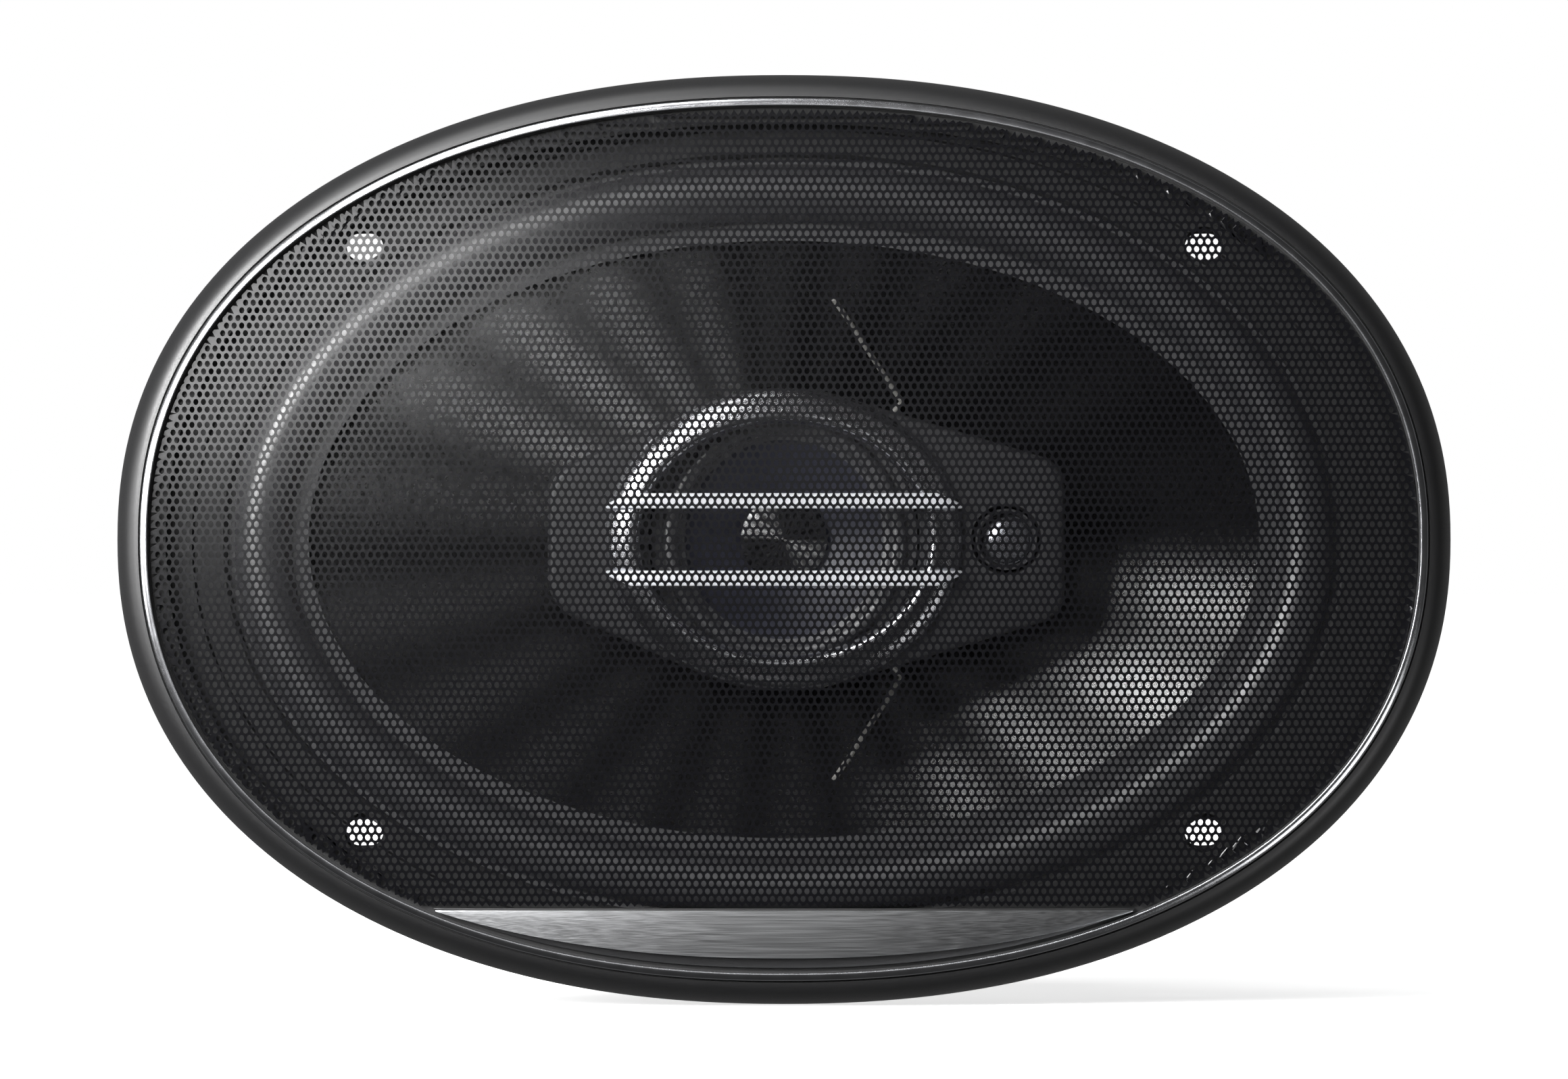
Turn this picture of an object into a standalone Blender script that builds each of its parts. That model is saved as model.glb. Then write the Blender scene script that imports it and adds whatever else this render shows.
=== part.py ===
"""Three-way coaxial car speaker, oval, with its pull-off grille.

The speaker stands as it is seen from the front: X across its long axis, Z up its short axis,
and the front faces -Y.  The origin is on the speaker's axis, in the plane Y = 0 where the rear
of the basket's flange meets the panel.  Every size below is in millimetres, and add_body turns
the finished mesh to metres.
"""
from math import copysign, cos, hypot, pi, radians, sin, tau

import bmesh
import bpy
from mathutils import Matrix, Vector

MM = 0.001
WELD = 0.001            # vertices nearer than this are one vertex
SEAT = 0.3              # gap left between two pieces that touch

# ---------------------------------------------------------------- driving dimensions
# Outline of the whole front: a superellipse, and rings parallel to it are given by their inset.
HALF_WIDTH = 120.0
HALF_HEIGHT = 83.6
OUTLINE_POWER = 2.183

BASKET_SEGMENTS = 48    # 8 spokes and 8 windows, 6 segments for each pair
OVAL_SEGMENTS = 36      # surround, cone and gasket
RIM_SEGMENTS = 40       # trim ring, inlay and mesh
ROUND_SEGMENTS = 24     # motor and spider
SMALL_SEGMENTS = 16     # midrange
TINY_SEGMENTS = 12      # tweeter, screw, capacitor

# Basket: pressed steel sheet, its front face given by stations (half width, half height, power, y).
SHEET = 1.0
FLANGE_INSET = 3.6
FLANGE_FRONT = -SHEET
BASKET_STATIONS = (
    (100.2, 69.2, 2.10, FLANGE_FRONT),   # inner edge of the flange
    (98.6, 67.4, 2.10, 0.6),             # rounded corner
    (97.2, 66.0, 2.08, 9.0),             # upper band
    (93.6, 62.4, 2.05, 11.5),            # step at the head of the windows
    (77.0, 55.5, 2.00, 27.0),            # spokes
    (59.0, 51.5, 2.00, 38.0),            # foot of the windows
    (50.5, 50.5, 2.00, 40.0),            # ledge that carries the spider
    (44.0, 44.0, 2.00, 40.0),
    (42.5, 42.5, 2.00, 51.0),            # base on the front plate
    (17.6, 17.6, 2.00, 51.0),
)
WINDOW_FROM_STATION = 3
WINDOW_TO_STATION = 5
SPOKE_COUNT = 8
SPOKE_SEGMENTS = 2
SPIDER_LEDGE_Y = 40.0
BASE_FRONT_Y = 51.0

SCREW_X = 75.5          # the four panel screws
SCREW_Z = 52.7
SCREW_SLOT_WIDTH = 4.8
SCREW_SLOT_LENGTH = 6.6
SCREW_CLEARANCE_RADIUS = 3.6

# Snap pegs of the grille, in holes of the flange.
PEG_ANGLES = (30, 90, 150, 210, 270, 330)
PEG_INSET = 6.1
PEG_RADIUS = 1.2
PEG_HOLE_RADIUS = 1.7
PEG_TIP_Y = -0.1

# Surround: half roll between two flat lips.
SURROUND_THICKNESS = 0.7
LIP_FRONT = FLANGE_FRONT - SEAT - SURROUND_THICKNESS
LIP_OUTER = (103.2, 71.4, 2.05)
ROLL_OUTER = (99.0, 67.6, 2.08)
ROLL_INNER = (88.8, 56.9, 2.04)
LIP_INNER = (85.6, 53.8, 2.02)
ROLL_HEIGHT = 5.4
ROLL_STEPS = 4

# Gasket on the surround's outer lip.
GASKET_OUTER_INSET = 8.3
GASKET_INNER = (100.2, 68.8, 2.08)
GASKET_STEP = (104.0, 72.2, 2.05)
GASKET_FRONT = -4.9

# Cone: flat rim, straight side, neck on the voice-coil former.
CONE_THICKNESS = 0.8
CONE_RIM = (88.2, 56.4, 2.04)
CONE_TOP = (85.8, 54.0, 2.02)
CONE_RIM_Y = -1.0
CONE_TOP_Y = -0.7
NECK_RADIUS = 15.1
NECK_Y = 33.5
NECK_END_Y = 36.4

# Voice coil and motor, all on the speaker's axis.
FORMER_INNER_RADIUS = 14.3
FORMER_OUTER_RADIUS = 14.8
FORMER_Y = (31.5, 61.0)
WINDING_RADIUS = (15.1, 15.8)
WINDING_Y = (49.4, 60.2)
SPIDER_THICKNESS = 0.6
SPIDER_OUTER_RADIUS = 48.6
SPIDER_INNER_RADIUS = 15.1
SPIDER_WAVES = 2
SPIDER_WAVE_RADII = (43.0, 20.0)
SPIDER_WAVE_HEIGHT = 1.4
TOP_PLATE_RADIUS = (16.6, 42.0)
TOP_PLATE_Y = (52.3, 57.3)
MAGNET_RADIUS = (20.0, 45.0)
MAGNET_Y = (57.6, 72.6)
BACK_PLATE_RADIUS = 40.0
BACK_PLATE_Y = (72.9, 78.6)
POLE_RADIUS = 13.6
POLE_TOP_Y = 52.5
POLE_BORE_RADIUS = 3.2
SCREW_RECESS_RADIUS = 6.4
SCREW_RECESS_Y = 75.0
RIVET_CIRCLE_RADIUS = 36.0
RIVET_RADIUS = 2.8

# Bridge over the cone: an oval body with a small left ear and a large right ear.
POD_HALF_WIDTH = 32.0
POD_HALF_HEIGHT = 27.2
POD_RIGHT_CORNER = (44.4, 9.2, 6.0)      # x, z and radius of the two rounded corners
POD_LEFT_CORNER = (-34.4, 6.8, 8.0)
POD_SEGMENTS = 40
POD_FRONT = -9.6
POD_EAR_BACK = -0.6
POD_BOWL_RADIUS = (25.0, 18.0)
POD_BOWL_BACK = 14.3
CAVITY_RADIUS = 24.4
CAVITY_LEDGE_Y = -4.2
CAVITY_INNER_RADIUS = 20.9
CAVITY_FLOOR_Y = 11.3
POST_TOP_Y = POD_BOWL_BACK + SEAT

BEZEL_SEGMENTS = 32
BEZEL_HALF_WIDTH = 32.0
BEZEL_HALF_HEIGHT = 27.1
BEZEL_PROFILE = (       # inset from the bezel's outer oval, y
    (0.3, POD_FRONT - SEAT),
    (0.0, -10.7),
    (1.3, -12.1),
    (3.2, -13.0),
    (5.2, -13.3),
    (6.0, -12.5),
    (6.4, POD_FRONT - SEAT),
)

BAR_INNER_Z = 5.55      # the bars' long edges, nearest the axis
BAR_OUTER_Z = 8.3
BAR_TIP_Z = 6.3
BAR_THICKNESS = 1.3
BAR_STATIONS = ((31.9, -11.3, 0.0), (30.3, -12.7, 0.4), (27.4, -13.6, 1.0), (14.0, -13.6, 1.0))

# Midrange, on the speaker's axis inside the bridge.
MID_FRAME_Y = CAVITY_LEDGE_Y - SEAT
MID_FRAME_SHEET = 0.8
MID_LIP_Y = MID_FRAME_Y - MID_FRAME_SHEET - SEAT
MID_SURROUND_THICKNESS = 0.5
MID_ROLL_RADII = (22.2, 18.9)
MID_ROLL_HEIGHT = 1.8
MID_CONE_RADII = (18.7, 7.0)
MID_CONE_Y = (-4.9, 0.6)
MID_CONE_THICKNESS = 0.5
MID_CAP_RADIUS = 7.8
MID_CAP_HEIGHT = 2.8
MID_CAP_Y = -0.6
MID_COIL_RADII = (6.2, 6.7, 7.4)
MID_COIL_Y = (0.2, 3.6, 6.4)
MID_PLATE_RADII = (8.0, 12.6)
MID_PLATE_Y = (3.9, 5.4)
MID_MAGNET_RADII = (9.2, 14.2)
MID_MAGNET_Y = (5.7, 8.7)
MID_POLE_RADIUS = 5.6
MID_YOKE_RADIUS = 12.6
MID_YOKE_Y = (3.9, 9.0, 10.9)

# Tweeter, in the right ear.
TWEETER_X = 39.9
TWEETER_CAVITY_RADIUS = 5.9
TWEETER_CAVITY_Y = -2.6
TWEETER_DOME_RADIUS = 4.3
TWEETER_DOME_Y = -7.0
TWEETER_DOME_HEIGHT = 1.9

# Grille: moulded ring, bright inlay, domed sheet and the badge plate at its foot.
RING_ARC = (4.6, 7.9)               # half axes of the ring's rounded outer shoulder
RING_SHOULDER_Y = -2.2
RING_BACK_Y = -0.3
INLAY_SEAT_INSET = 4.12
INLAY_SEAT_Y = -9.1
LEDGE_INSET = (6.05, 9.0)
LEDGE_Y = (-8.2, -6.7)
SKIRT_THICKNESS = 2.6
MESH_INSET = 6.35
MESH_EDGE_Y = -9.3
MESH_THICKNESS = 0.8
MESH_DOME = 9.0
MESH_PITCH = 19.18                  # fourteen times the pitch of the real holes
MESH_WEB = 3.8
MESH_BORDER = 2.4
MESH_LEAST_HOLE = 0.22              # a smaller part of a hole at the border stays shut
MESH_LEAST_EDGE = 0.9
CHIN_CHORD_Z = -66.1                # straight edge of the plate's seat
CHIN_THICKNESS = 2.4
BADGE_CHORD_Z = -66.5
BADGE_INSET = (8.5, 6.4)            # at the middle and at the ends
BADGE_THICKNESS = 0.7

# Terminals, on the basket's band at the right-hand end.  The board starts far enough behind the
# flange for a panel 2 mm thick to lie flat on all of the flange's rear face.
BOARD_X = (100.2, 101.8)
BOARD_Y = (3.0, 19.0)
BOARD_HALF_HEIGHT = 16.0
TAB_THICKNESS = 0.8
TAB_Y = (10.0, 29.0)
TAB_HOLE_FROM_TIP = 4.6
TABS = (("terminal_positive", -13.5, 6.3, 0.85), ("terminal_negative", 8.0, 4.8, 0.7))

# Leads.  The eyelets and knots are places (x, z) on the cone's front.
LEAD_RADIUS = 0.55
CONE_LEAD_ROUTE = ((9.0, 43.5), (12.8, 38.0), (16.8, 32.0), (20.4, 26.6), (21.4, 25.2),
                   (20.6, 23.9), (18.4, 21.6), (15.2, 17.4), (12.4, 13.4), (11.0, 12.2))
TINSEL_RADIUS = 0.7
TINSEL_ROUTE = ((99.4, 15.0, 10.6), (96.4, 15.4, 10.9), (90.0, 18.4, 11.6), (82.0, 21.2, 13.6),
                (70.0, 22.8, 18.4), (56.0, 23.6, 25.0), (42.0, 23.8, 31.0), (28.0, 22.4, 36.6),
                (18.0, 19.6, 39.8), (11.6, 16.4, 41.6), (9.4, 13.8, 42.2))

CAPACITOR_RADIUS = 4.5
CAPACITOR_LENGTH = 16.0
CAPACITOR_PLACE = (49.9, 46.0, 0.0)


# ---------------------------------------------------------------- materials
def make_material(name, colour, roughness, metallic=0.0):
    material = bpy.data.materials.new(name)
    material.use_nodes = True
    shader = material.node_tree.nodes["Principled BSDF"]
    shader.inputs["Base Color"].default_value = (*colour, 1.0)
    shader.inputs["Roughness"].default_value = roughness
    shader.inputs["Metallic"].default_value = metallic
    material.diffuse_color = (*colour, 1.0)
    return material


def make_materials():
    return {
        "satin_abs": make_material("satin_abs", (0.022, 0.022, 0.023), 0.38),
        "pod_abs": make_material("pod_abs", (0.030, 0.030, 0.032), 0.45),
        "bright_trim": make_material("bright_trim", (0.78, 0.78, 0.80), 0.15, 1.0),
        "black_sheet": make_material("black_sheet", (0.015, 0.015, 0.016), 0.28),
        "brushed_aluminium": make_material("brushed_aluminium", (0.62, 0.62, 0.63), 0.32, 1.0),
        "black_steel": make_material("black_steel", (0.030, 0.030, 0.032), 0.42),
        "rubber": make_material("rubber", (0.025, 0.025, 0.026), 0.50),
        "cone_film": make_material("cone_film", (0.018, 0.018, 0.020), 0.20),
        "mid_cone_film": make_material("mid_cone_film", (0.045, 0.045, 0.060), 0.40),
        "coil_paper": make_material("coil_paper", (0.42, 0.27, 0.12), 0.60),
        "copper": make_material("copper", (0.72, 0.36, 0.18), 0.30, 1.0),
        "spider_cloth": make_material("spider_cloth", (0.45, 0.33, 0.12), 0.85),
        "zinc_steel": make_material("zinc_steel", (0.60, 0.60, 0.58), 0.35, 1.0),
        "ferrite": make_material("ferrite", (0.060, 0.060, 0.062), 0.60),
        "board": make_material("board", (0.28, 0.17, 0.08), 0.55),
        "tinned_brass": make_material("tinned_brass", (0.70, 0.68, 0.62), 0.30, 1.0),
        "tinsel": make_material("tinsel", (0.10, 0.10, 0.10), 0.50),
        "capacitor_sleeve": make_material("capacitor_sleeve", (0.03, 0.05, 0.12), 0.35),
        "tweeter_film": make_material("tweeter_film", (0.05, 0.05, 0.06), 0.15),
    }


# ---------------------------------------------------------------- outlines
def oval_point(half_width, half_height, power, angle):
    """A point (x, z) of a superellipse."""
    c = cos(angle)
    s = sin(angle)
    x = half_width * copysign(abs(c) ** (2 / power), c)
    z = half_height * copysign(abs(s) ** (2 / power), s)
    return x, z


def rim_point(inset, angle):
    """A point (x, z) that lies a true distance inside the speaker's outline."""
    x, z = oval_point(HALF_WIDTH, HALF_HEIGHT, OUTLINE_POWER, angle)
    normal_x = copysign(abs(x / HALF_WIDTH) ** (OUTLINE_POWER - 1) / HALF_WIDTH, x)
    normal_z = copysign(abs(z / HALF_HEIGHT) ** (OUTLINE_POWER - 1) / HALF_HEIGHT, z)
    length = hypot(normal_x, normal_z)
    return x - inset * normal_x / length, z - inset * normal_z / length


def oval_loop(half_width, half_height, power, y, segments=OVAL_SEGMENTS):
    points = [oval_point(half_width, half_height, power, tau * k / segments) for k in range(segments)]
    return [Vector((x, y, z)) for x, z in points]


def round_loop(radius, y, segments, centre_x=0.0):
    loop = oval_loop(radius, radius, 2.0, y, segments)
    return [point + Vector((centre_x, 0, 0)) for point in loop]


def rim_loop(inset, y, segments=RIM_SEGMENTS):
    points = [rim_point(inset, tau * k / segments) for k in range(segments)]
    return [Vector((x, y, z)) for x, z in points]


def pod_loop(inset, y):
    """The bridge's outline: the tight band round its oval body and four rounded corners.

    Each point is the one that reaches furthest in its own direction, so the straight flanks
    between the body and the corners come by themselves.
    """
    loop = []
    for k in range(POD_SEGMENTS):
        angle = tau * (k + 0.5) / POD_SEGMENTS
        nx, nz = cos(angle), sin(angle)
        reach = hypot(POD_HALF_WIDTH * nx, POD_HALF_HEIGHT * nz)
        choices = [(POD_HALF_WIDTH ** 2 * nx / reach, POD_HALF_HEIGHT ** 2 * nz / reach)]
        for x, z, radius in (POD_RIGHT_CORNER, POD_LEFT_CORNER):
            choices.append((x + radius * nx, copysign(z, nz) + radius * nz))
        x, z = max(choices, key=lambda point: point[0] * nx + point[1] * nz)
        loop.append(Vector((x - inset * nx, y, z - inset * nz)))
    return loop


def dome_y(x, z):
    """Front face of the domed grille sheet."""
    half_width = HALF_WIDTH - MESH_INSET
    half_height = HALF_HEIGHT - MESH_INSET
    fill = abs(x / half_width) ** OUTLINE_POWER + abs(z / half_height) ** OUTLINE_POWER
    return MESH_EDGE_Y - MESH_DOME * max(0.0, 1.0 - fill)


def cone_y(x, z):
    """Front face of the cone's straight side, between its top oval and the round neck."""
    low, high = 0.0, 1.0
    for _ in range(40):
        share = (low + high) / 2
        half_width = CONE_TOP[0] + (NECK_RADIUS - CONE_TOP[0]) * share
        half_height = CONE_TOP[1] + (NECK_RADIUS - CONE_TOP[1]) * share
        if (x / half_width) ** 2 + (z / half_height) ** 2 > 1:
            high = share
        else:
            low = share
    return CONE_TOP_Y + (NECK_Y - CONE_TOP_Y) * low


# ---------------------------------------------------------------- solids
def loft(loops, ring=False, caps=False):
    """Skin a row of loops.  A ring also joins the last loop to the first; caps close both ends."""
    bm = bmesh.new()
    rows = [[bm.verts.new(point) for point in loop] for loop in loops]
    pairs = list(zip(rows, rows[1:]))
    if ring:
        pairs.append((rows[-1], rows[0]))
    count = len(rows[0])
    for one, other in pairs:
        for k in range(count):
            after = (k + 1) % count
            bm.faces.new((one[k], one[after], other[after], other[k]))
    if caps:
        bm.faces.new(rows[0])
        bm.faces.new(rows[-1])
    return bm


def turned(profile, segments, centre=(0.0, 0.0), ring=True):
    """Spin a profile of (radius, y) about a line along Y through centre (x, z).

    A ring's profile is a closed outline; otherwise the profile starts and ends on the axis.
    """
    bm = bmesh.new()
    x, z = centre
    verts = [bm.verts.new((x + radius, y, z)) for radius, y in profile]
    edges = [bm.edges.new(pair) for pair in zip(verts, verts[1:])]
    if ring:
        edges.append(bm.edges.new((verts[-1], verts[0])))
    bmesh.ops.spin(bm, geom=verts + edges, cent=(x, 0, z), axis=(0, 1, 0), angle=tau,
                   steps=segments, use_duplicate=False)
    bmesh.ops.remove_doubles(bm, verts=bm.verts, dist=WELD)
    bmesh.ops.dissolve_degenerate(bm, edges=bm.edges, dist=WELD / 10)
    return bm


def block(low, high, bevel=0.0):
    bm = bmesh.new()
    bmesh.ops.create_cube(bm, size=1.0)
    low, high = Vector(low), Vector(high)
    size = high - low
    bmesh.ops.scale(bm, vec=size, verts=bm.verts)
    bmesh.ops.translate(bm, vec=(low + high) / 2, verts=bm.verts)
    if bevel:
        bmesh.ops.bevel(bm, geom=bm.edges, offset=bevel, segments=1, affect="EDGES",
                        clamp_overlap=True)
    return bm


def join_bodies(*parts):
    """Several separate bodies in one mesh."""
    whole = bmesh.new()
    for part in parts:
        mesh = bpy.data.meshes.new("joined")
        part.to_mesh(mesh)
        part.free()
        whole.from_mesh(mesh)
        bpy.data.meshes.remove(mesh)
    return whole


def add_body(name, bm, material, axis_point=(0, 0, 0), smooth_angle=32):
    """Make the object, with its origin at axis_point."""
    bmesh.ops.remove_doubles(bm, verts=bm.verts, dist=WELD)
    bmesh.ops.recalc_face_normals(bm, faces=bm.faces)
    bmesh.ops.translate(bm, vec=-Vector(axis_point), verts=bm.verts)
    bm.transform(Matrix.Scale(MM, 4))
    mesh = bpy.data.meshes.new(name)
    bm.to_mesh(mesh)
    bm.free()
    mesh.materials.append(material)
    mesh.shade_smooth()
    mesh.set_sharp_from_angle(angle=radians(smooth_angle))
    body = bpy.data.objects.new(name, mesh)
    body.location = Vector(axis_point) * MM
    bpy.context.scene.collection.objects.link(body)
    return body


def add_sheet(name, bm, thickness, material, smooth_angle=32):
    """Thicken an open skin away from its front, the side that faces -Y."""
    bmesh.ops.remove_doubles(bm, verts=bm.verts, dist=WELD)
    bmesh.ops.recalc_face_normals(bm, faces=bm.faces)
    if sum(face.normal.y * face.calc_area() for face in bm.faces) > 0:
        bmesh.ops.reverse_faces(bm, faces=bm.faces)
    bm.transform(Matrix.Scale(MM, 4))
    mesh = bpy.data.meshes.new(name)
    bm.to_mesh(mesh)
    bm.free()
    mesh.materials.append(material)
    mesh.shade_smooth()
    mesh.set_sharp_from_angle(angle=radians(smooth_angle))
    body = bpy.data.objects.new(name, mesh)
    bpy.context.scene.collection.objects.link(body)
    wall = body.modifiers.new("wall", "SOLIDIFY")
    wall.thickness = thickness * MM
    wall.offset = -1.0
    wall.use_even_offset = True
    return body


def cut(body, name, bm, operation="DIFFERENCE"):
    """A Boolean with a hidden tool."""
    tool = add_body(name, bm, body.data.materials[0])
    tool.hide_render = True
    tool.display_type = "WIRE"
    step = body.modifiers.new(name, "BOOLEAN")
    step.operation = operation
    step.object = tool
    return tool


def tube(name, points, radius, material):
    """A lead along a smooth curve through hand-set points."""
    curve = bpy.data.curves.new(name, "CURVE")
    curve.dimensions = "3D"
    curve.bevel_depth = radius * MM
    curve.bevel_resolution = 1
    curve.use_fill_caps = True
    path = smooth_path(points, spacing=6 * radius)
    spline = curve.splines.new("POLY")
    spline.points.add(len(path) - 1)
    for place, point in zip(spline.points, path):
        place.co = (*(point * MM), 1.0)
    curve.materials.append(material)
    body = bpy.data.objects.new(name, curve)
    bpy.context.scene.collection.objects.link(body)
    return body


def smooth_path(points, spacing):
    """Points at even spacing along a Catmull-Rom curve through the given ones."""
    ends = [points[0] * 2 - points[1], *points, points[-1] * 2 - points[-2]]
    fine = []
    for a, b, c, d in zip(ends, ends[1:], ends[2:], ends[3:]):
        for k in range(16):
            t = k / 16
            fine.append(0.5 * (2 * b + (c - a) * t + (2 * a - 5 * b + 4 * c - d) * t * t
                               + (3 * b - a - 3 * c + d) * t ** 3))
    fine.append(points[-1])
    length = sum((q - p).length for p, q in zip(fine, fine[1:]))
    steps = max(4, round(length / spacing))
    path = [fine[0]]
    run = 0.0
    for p, q in zip(fine, fine[1:]):
        run += (q - p).length
        if run >= length * len(path) / steps - 1e-6:
            path.append(q)
    return path


# ---------------------------------------------------------------- basket and motor
def screw_places():
    return [(x, z) for x in (-SCREW_X, SCREW_X) for z in (-SCREW_Z, SCREW_Z)]


def peg_places():
    return [rim_point(PEG_INSET, radians(angle)) for angle in PEG_ANGLES]


def make_basket(finish):
    """Flange, band, spokes, spider ledge and base, pressed from one sheet."""
    loops = [rim_loop(FLANGE_INSET, FLANGE_FRONT, BASKET_SEGMENTS)]
    loops += [oval_loop(*station, BASKET_SEGMENTS) for station in BASKET_STATIONS]
    bm = loft(loops)
    bm.faces.ensure_lookup_table()
    per_window = BASKET_SEGMENTS // SPOKE_COUNT
    open_faces = []
    for row in range(WINDOW_FROM_STATION + 1, WINDOW_TO_STATION + 1):
        for k in range(BASKET_SEGMENTS):
            if 1 <= k % per_window <= per_window - SPOKE_SEGMENTS:
                open_faces.append(bm.faces[row * BASKET_SEGMENTS + k])
    bmesh.ops.delete(bm, geom=open_faces, context="FACES")
    basket = add_sheet("basket", bm, SHEET, finish["black_steel"])
    half_slot = (SCREW_SLOT_LENGTH - SCREW_SLOT_WIDTH) / 2
    slots = []
    for x, z in screw_places():
        loops = []
        for y in (-3.0, 2.0):
            ring = round_loop(SCREW_SLOT_WIDTH / 2, y, 12)
            loops.append([Vector((x + p.x + copysign(half_slot, p.x), y, z + p.z)) for p in ring])
        slots.append(loft(loops, caps=True))
    for x, z in peg_places():
        loops = [round_loop(PEG_HOLE_RADIUS, y, 8) for y in (-3.0, 2.0)]
        slots.append(loft([[p + Vector((x, 0, z)) for p in loop] for loop in loops], caps=True))
    cut(basket, "flange_holes_tool", join_bodies(*slots))


def make_gasket(finish):
    top = GASKET_FRONT
    bottom = FLANGE_FRONT - SEAT
    on_lip = LIP_FRONT - SEAT
    bm = loft([
        rim_loop(GASKET_OUTER_INSET, bottom, OVAL_SEGMENTS),
        rim_loop(GASKET_OUTER_INSET, top, OVAL_SEGMENTS),
        oval_loop(*GASKET_INNER, top),
        oval_loop(*GASKET_INNER, on_lip),
        oval_loop(*GASKET_STEP, on_lip),
        oval_loop(*GASKET_STEP, bottom),
    ], ring=True)
    gasket = add_body("flange_gasket", bm, finish["rubber"])
    holes = []
    for x, z in screw_places():
        loops = [round_loop(SCREW_CLEARANCE_RADIUS, y, 12) for y in (-7.0, 1.0)]
        holes.append(loft([[p + Vector((x, 0, z)) for p in loop] for loop in loops], caps=True))
    cut(gasket, "gasket_holes_tool", join_bodies(*holes))


def make_motor(finish):
    low, high = TOP_PLATE_Y
    inner, outer = TOP_PLATE_RADIUS
    profile = ((inner, low), (outer, low), (outer, high), (inner, high))
    add_body("top_plate", turned(profile, ROUND_SEGMENTS), finish["zinc_steel"])

    low, high = MAGNET_Y
    inner, outer = MAGNET_RADIUS
    chamfer = 1.2
    profile = ((inner, low), (outer - chamfer, low), (outer, low + chamfer),
               (outer, high - chamfer), (outer - chamfer, high), (inner, high))
    add_body("ferrite_magnet", turned(profile, ROUND_SEGMENTS), finish["ferrite"])

    low, high = BACK_PLATE_Y
    chamfer = 1.8
    profile = ((POLE_BORE_RADIUS, POLE_TOP_Y), (POLE_RADIUS, POLE_TOP_Y), (POLE_RADIUS, low),
               (BACK_PLATE_RADIUS, low), (BACK_PLATE_RADIUS, high - chamfer),
               (BACK_PLATE_RADIUS - chamfer, high), (SCREW_RECESS_RADIUS, high),
               (SCREW_RECESS_RADIUS, SCREW_RECESS_Y), (POLE_BORE_RADIUS, SCREW_RECESS_Y))
    add_body("back_plate_and_pole", turned(profile, ROUND_SEGMENTS), finish["zinc_steel"])

    back = BASE_FRONT_Y - SEAT
    for k in range(4):
        angle = radians(45 + 90 * k)
        centre = (RIVET_CIRCLE_RADIUS * cos(angle), RIVET_CIRCLE_RADIUS * sin(angle))
        profile = ((0, back), (RIVET_RADIUS, back), (RIVET_RADIUS, back - 0.7),
                   (RIVET_RADIUS * 0.6, back - 1.3), (0, back - 1.5))
        rivet = turned(profile, 8, centre, ring=False)
        add_body(f"plate_rivet_{k + 1}", rivet, finish["zinc_steel"])


def make_post(finish):
    bore_top = 42.0
    foot = POLE_TOP_Y - SEAT
    profile = ((0, POST_TOP_Y), (9.0, POST_TOP_Y), (7.4, POST_TOP_Y + 4), (6.2, 24.0), (6.6, 44.0),
               (8.6, foot - 3.6), (11.4, foot - 2.2), (11.4, foot), (3.1, foot), (3.1, bore_top),
               (0, bore_top))
    add_body("bridge_post", turned(profile, SMALL_SEGMENTS, ring=False), finish["pod_abs"])

    head = SCREW_RECESS_Y + SEAT
    profile = ((0, bore_top + 1.0), (2.7, bore_top + 1.0), (2.7, head), (5.6, head),
               (5.6, head + 2.0), (4.8, head + 2.8), (2.2, head + 2.8), (2.2, head + 1.0),
               (0, head + 1.0))
    add_body("post_screw", turned(profile, TINY_SEGMENTS, ring=False), finish["zinc_steel"])


# ---------------------------------------------------------------- woofer's moving parts
def make_surround(finish):
    """Half roll: its section goes round a half ellipse from the outer lip to the inner one."""
    loops = [oval_loop(*LIP_OUTER, LIP_FRONT)]
    for step in range(ROLL_STEPS + 1):
        angle = pi * step / ROLL_STEPS
        share = (1 - cos(angle)) / 2
        shape = [outer + (inner - outer) * share for outer, inner in zip(ROLL_OUTER, ROLL_INNER)]
        loops.append(oval_loop(*shape, LIP_FRONT - ROLL_HEIGHT * sin(angle)))
    loops.append(oval_loop(*LIP_INNER, LIP_FRONT))
    add_sheet("woofer_surround", loft(loops), SURROUND_THICKNESS, finish["rubber"], 60)


def make_cone(finish):
    loops = [
        oval_loop(*CONE_RIM, CONE_RIM_Y),
        oval_loop(*CONE_TOP, CONE_TOP_Y),
        oval_loop(NECK_RADIUS, NECK_RADIUS, 2.0, NECK_Y),
        oval_loop(NECK_RADIUS, NECK_RADIUS, 2.0, NECK_END_Y),
    ]
    bm = loft(loops)
    add_sheet("woofer_cone", bm, CONE_THICKNESS, finish["cone_film"])


def make_voice_coil(finish):
    low, high = FORMER_Y
    profile = ((FORMER_INNER_RADIUS, low), (FORMER_OUTER_RADIUS, low),
               (FORMER_OUTER_RADIUS, high), (FORMER_INNER_RADIUS, high))
    add_body("voice_coil_former", turned(profile, SMALL_SEGMENTS), finish["coil_paper"])
    low, high = WINDING_Y
    inner, outer = WINDING_RADIUS
    profile = ((inner, low), (outer, low), (outer, high), (inner, high))
    add_body("voice_coil_winding", turned(profile, SMALL_SEGMENTS), finish["copper"])


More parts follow.
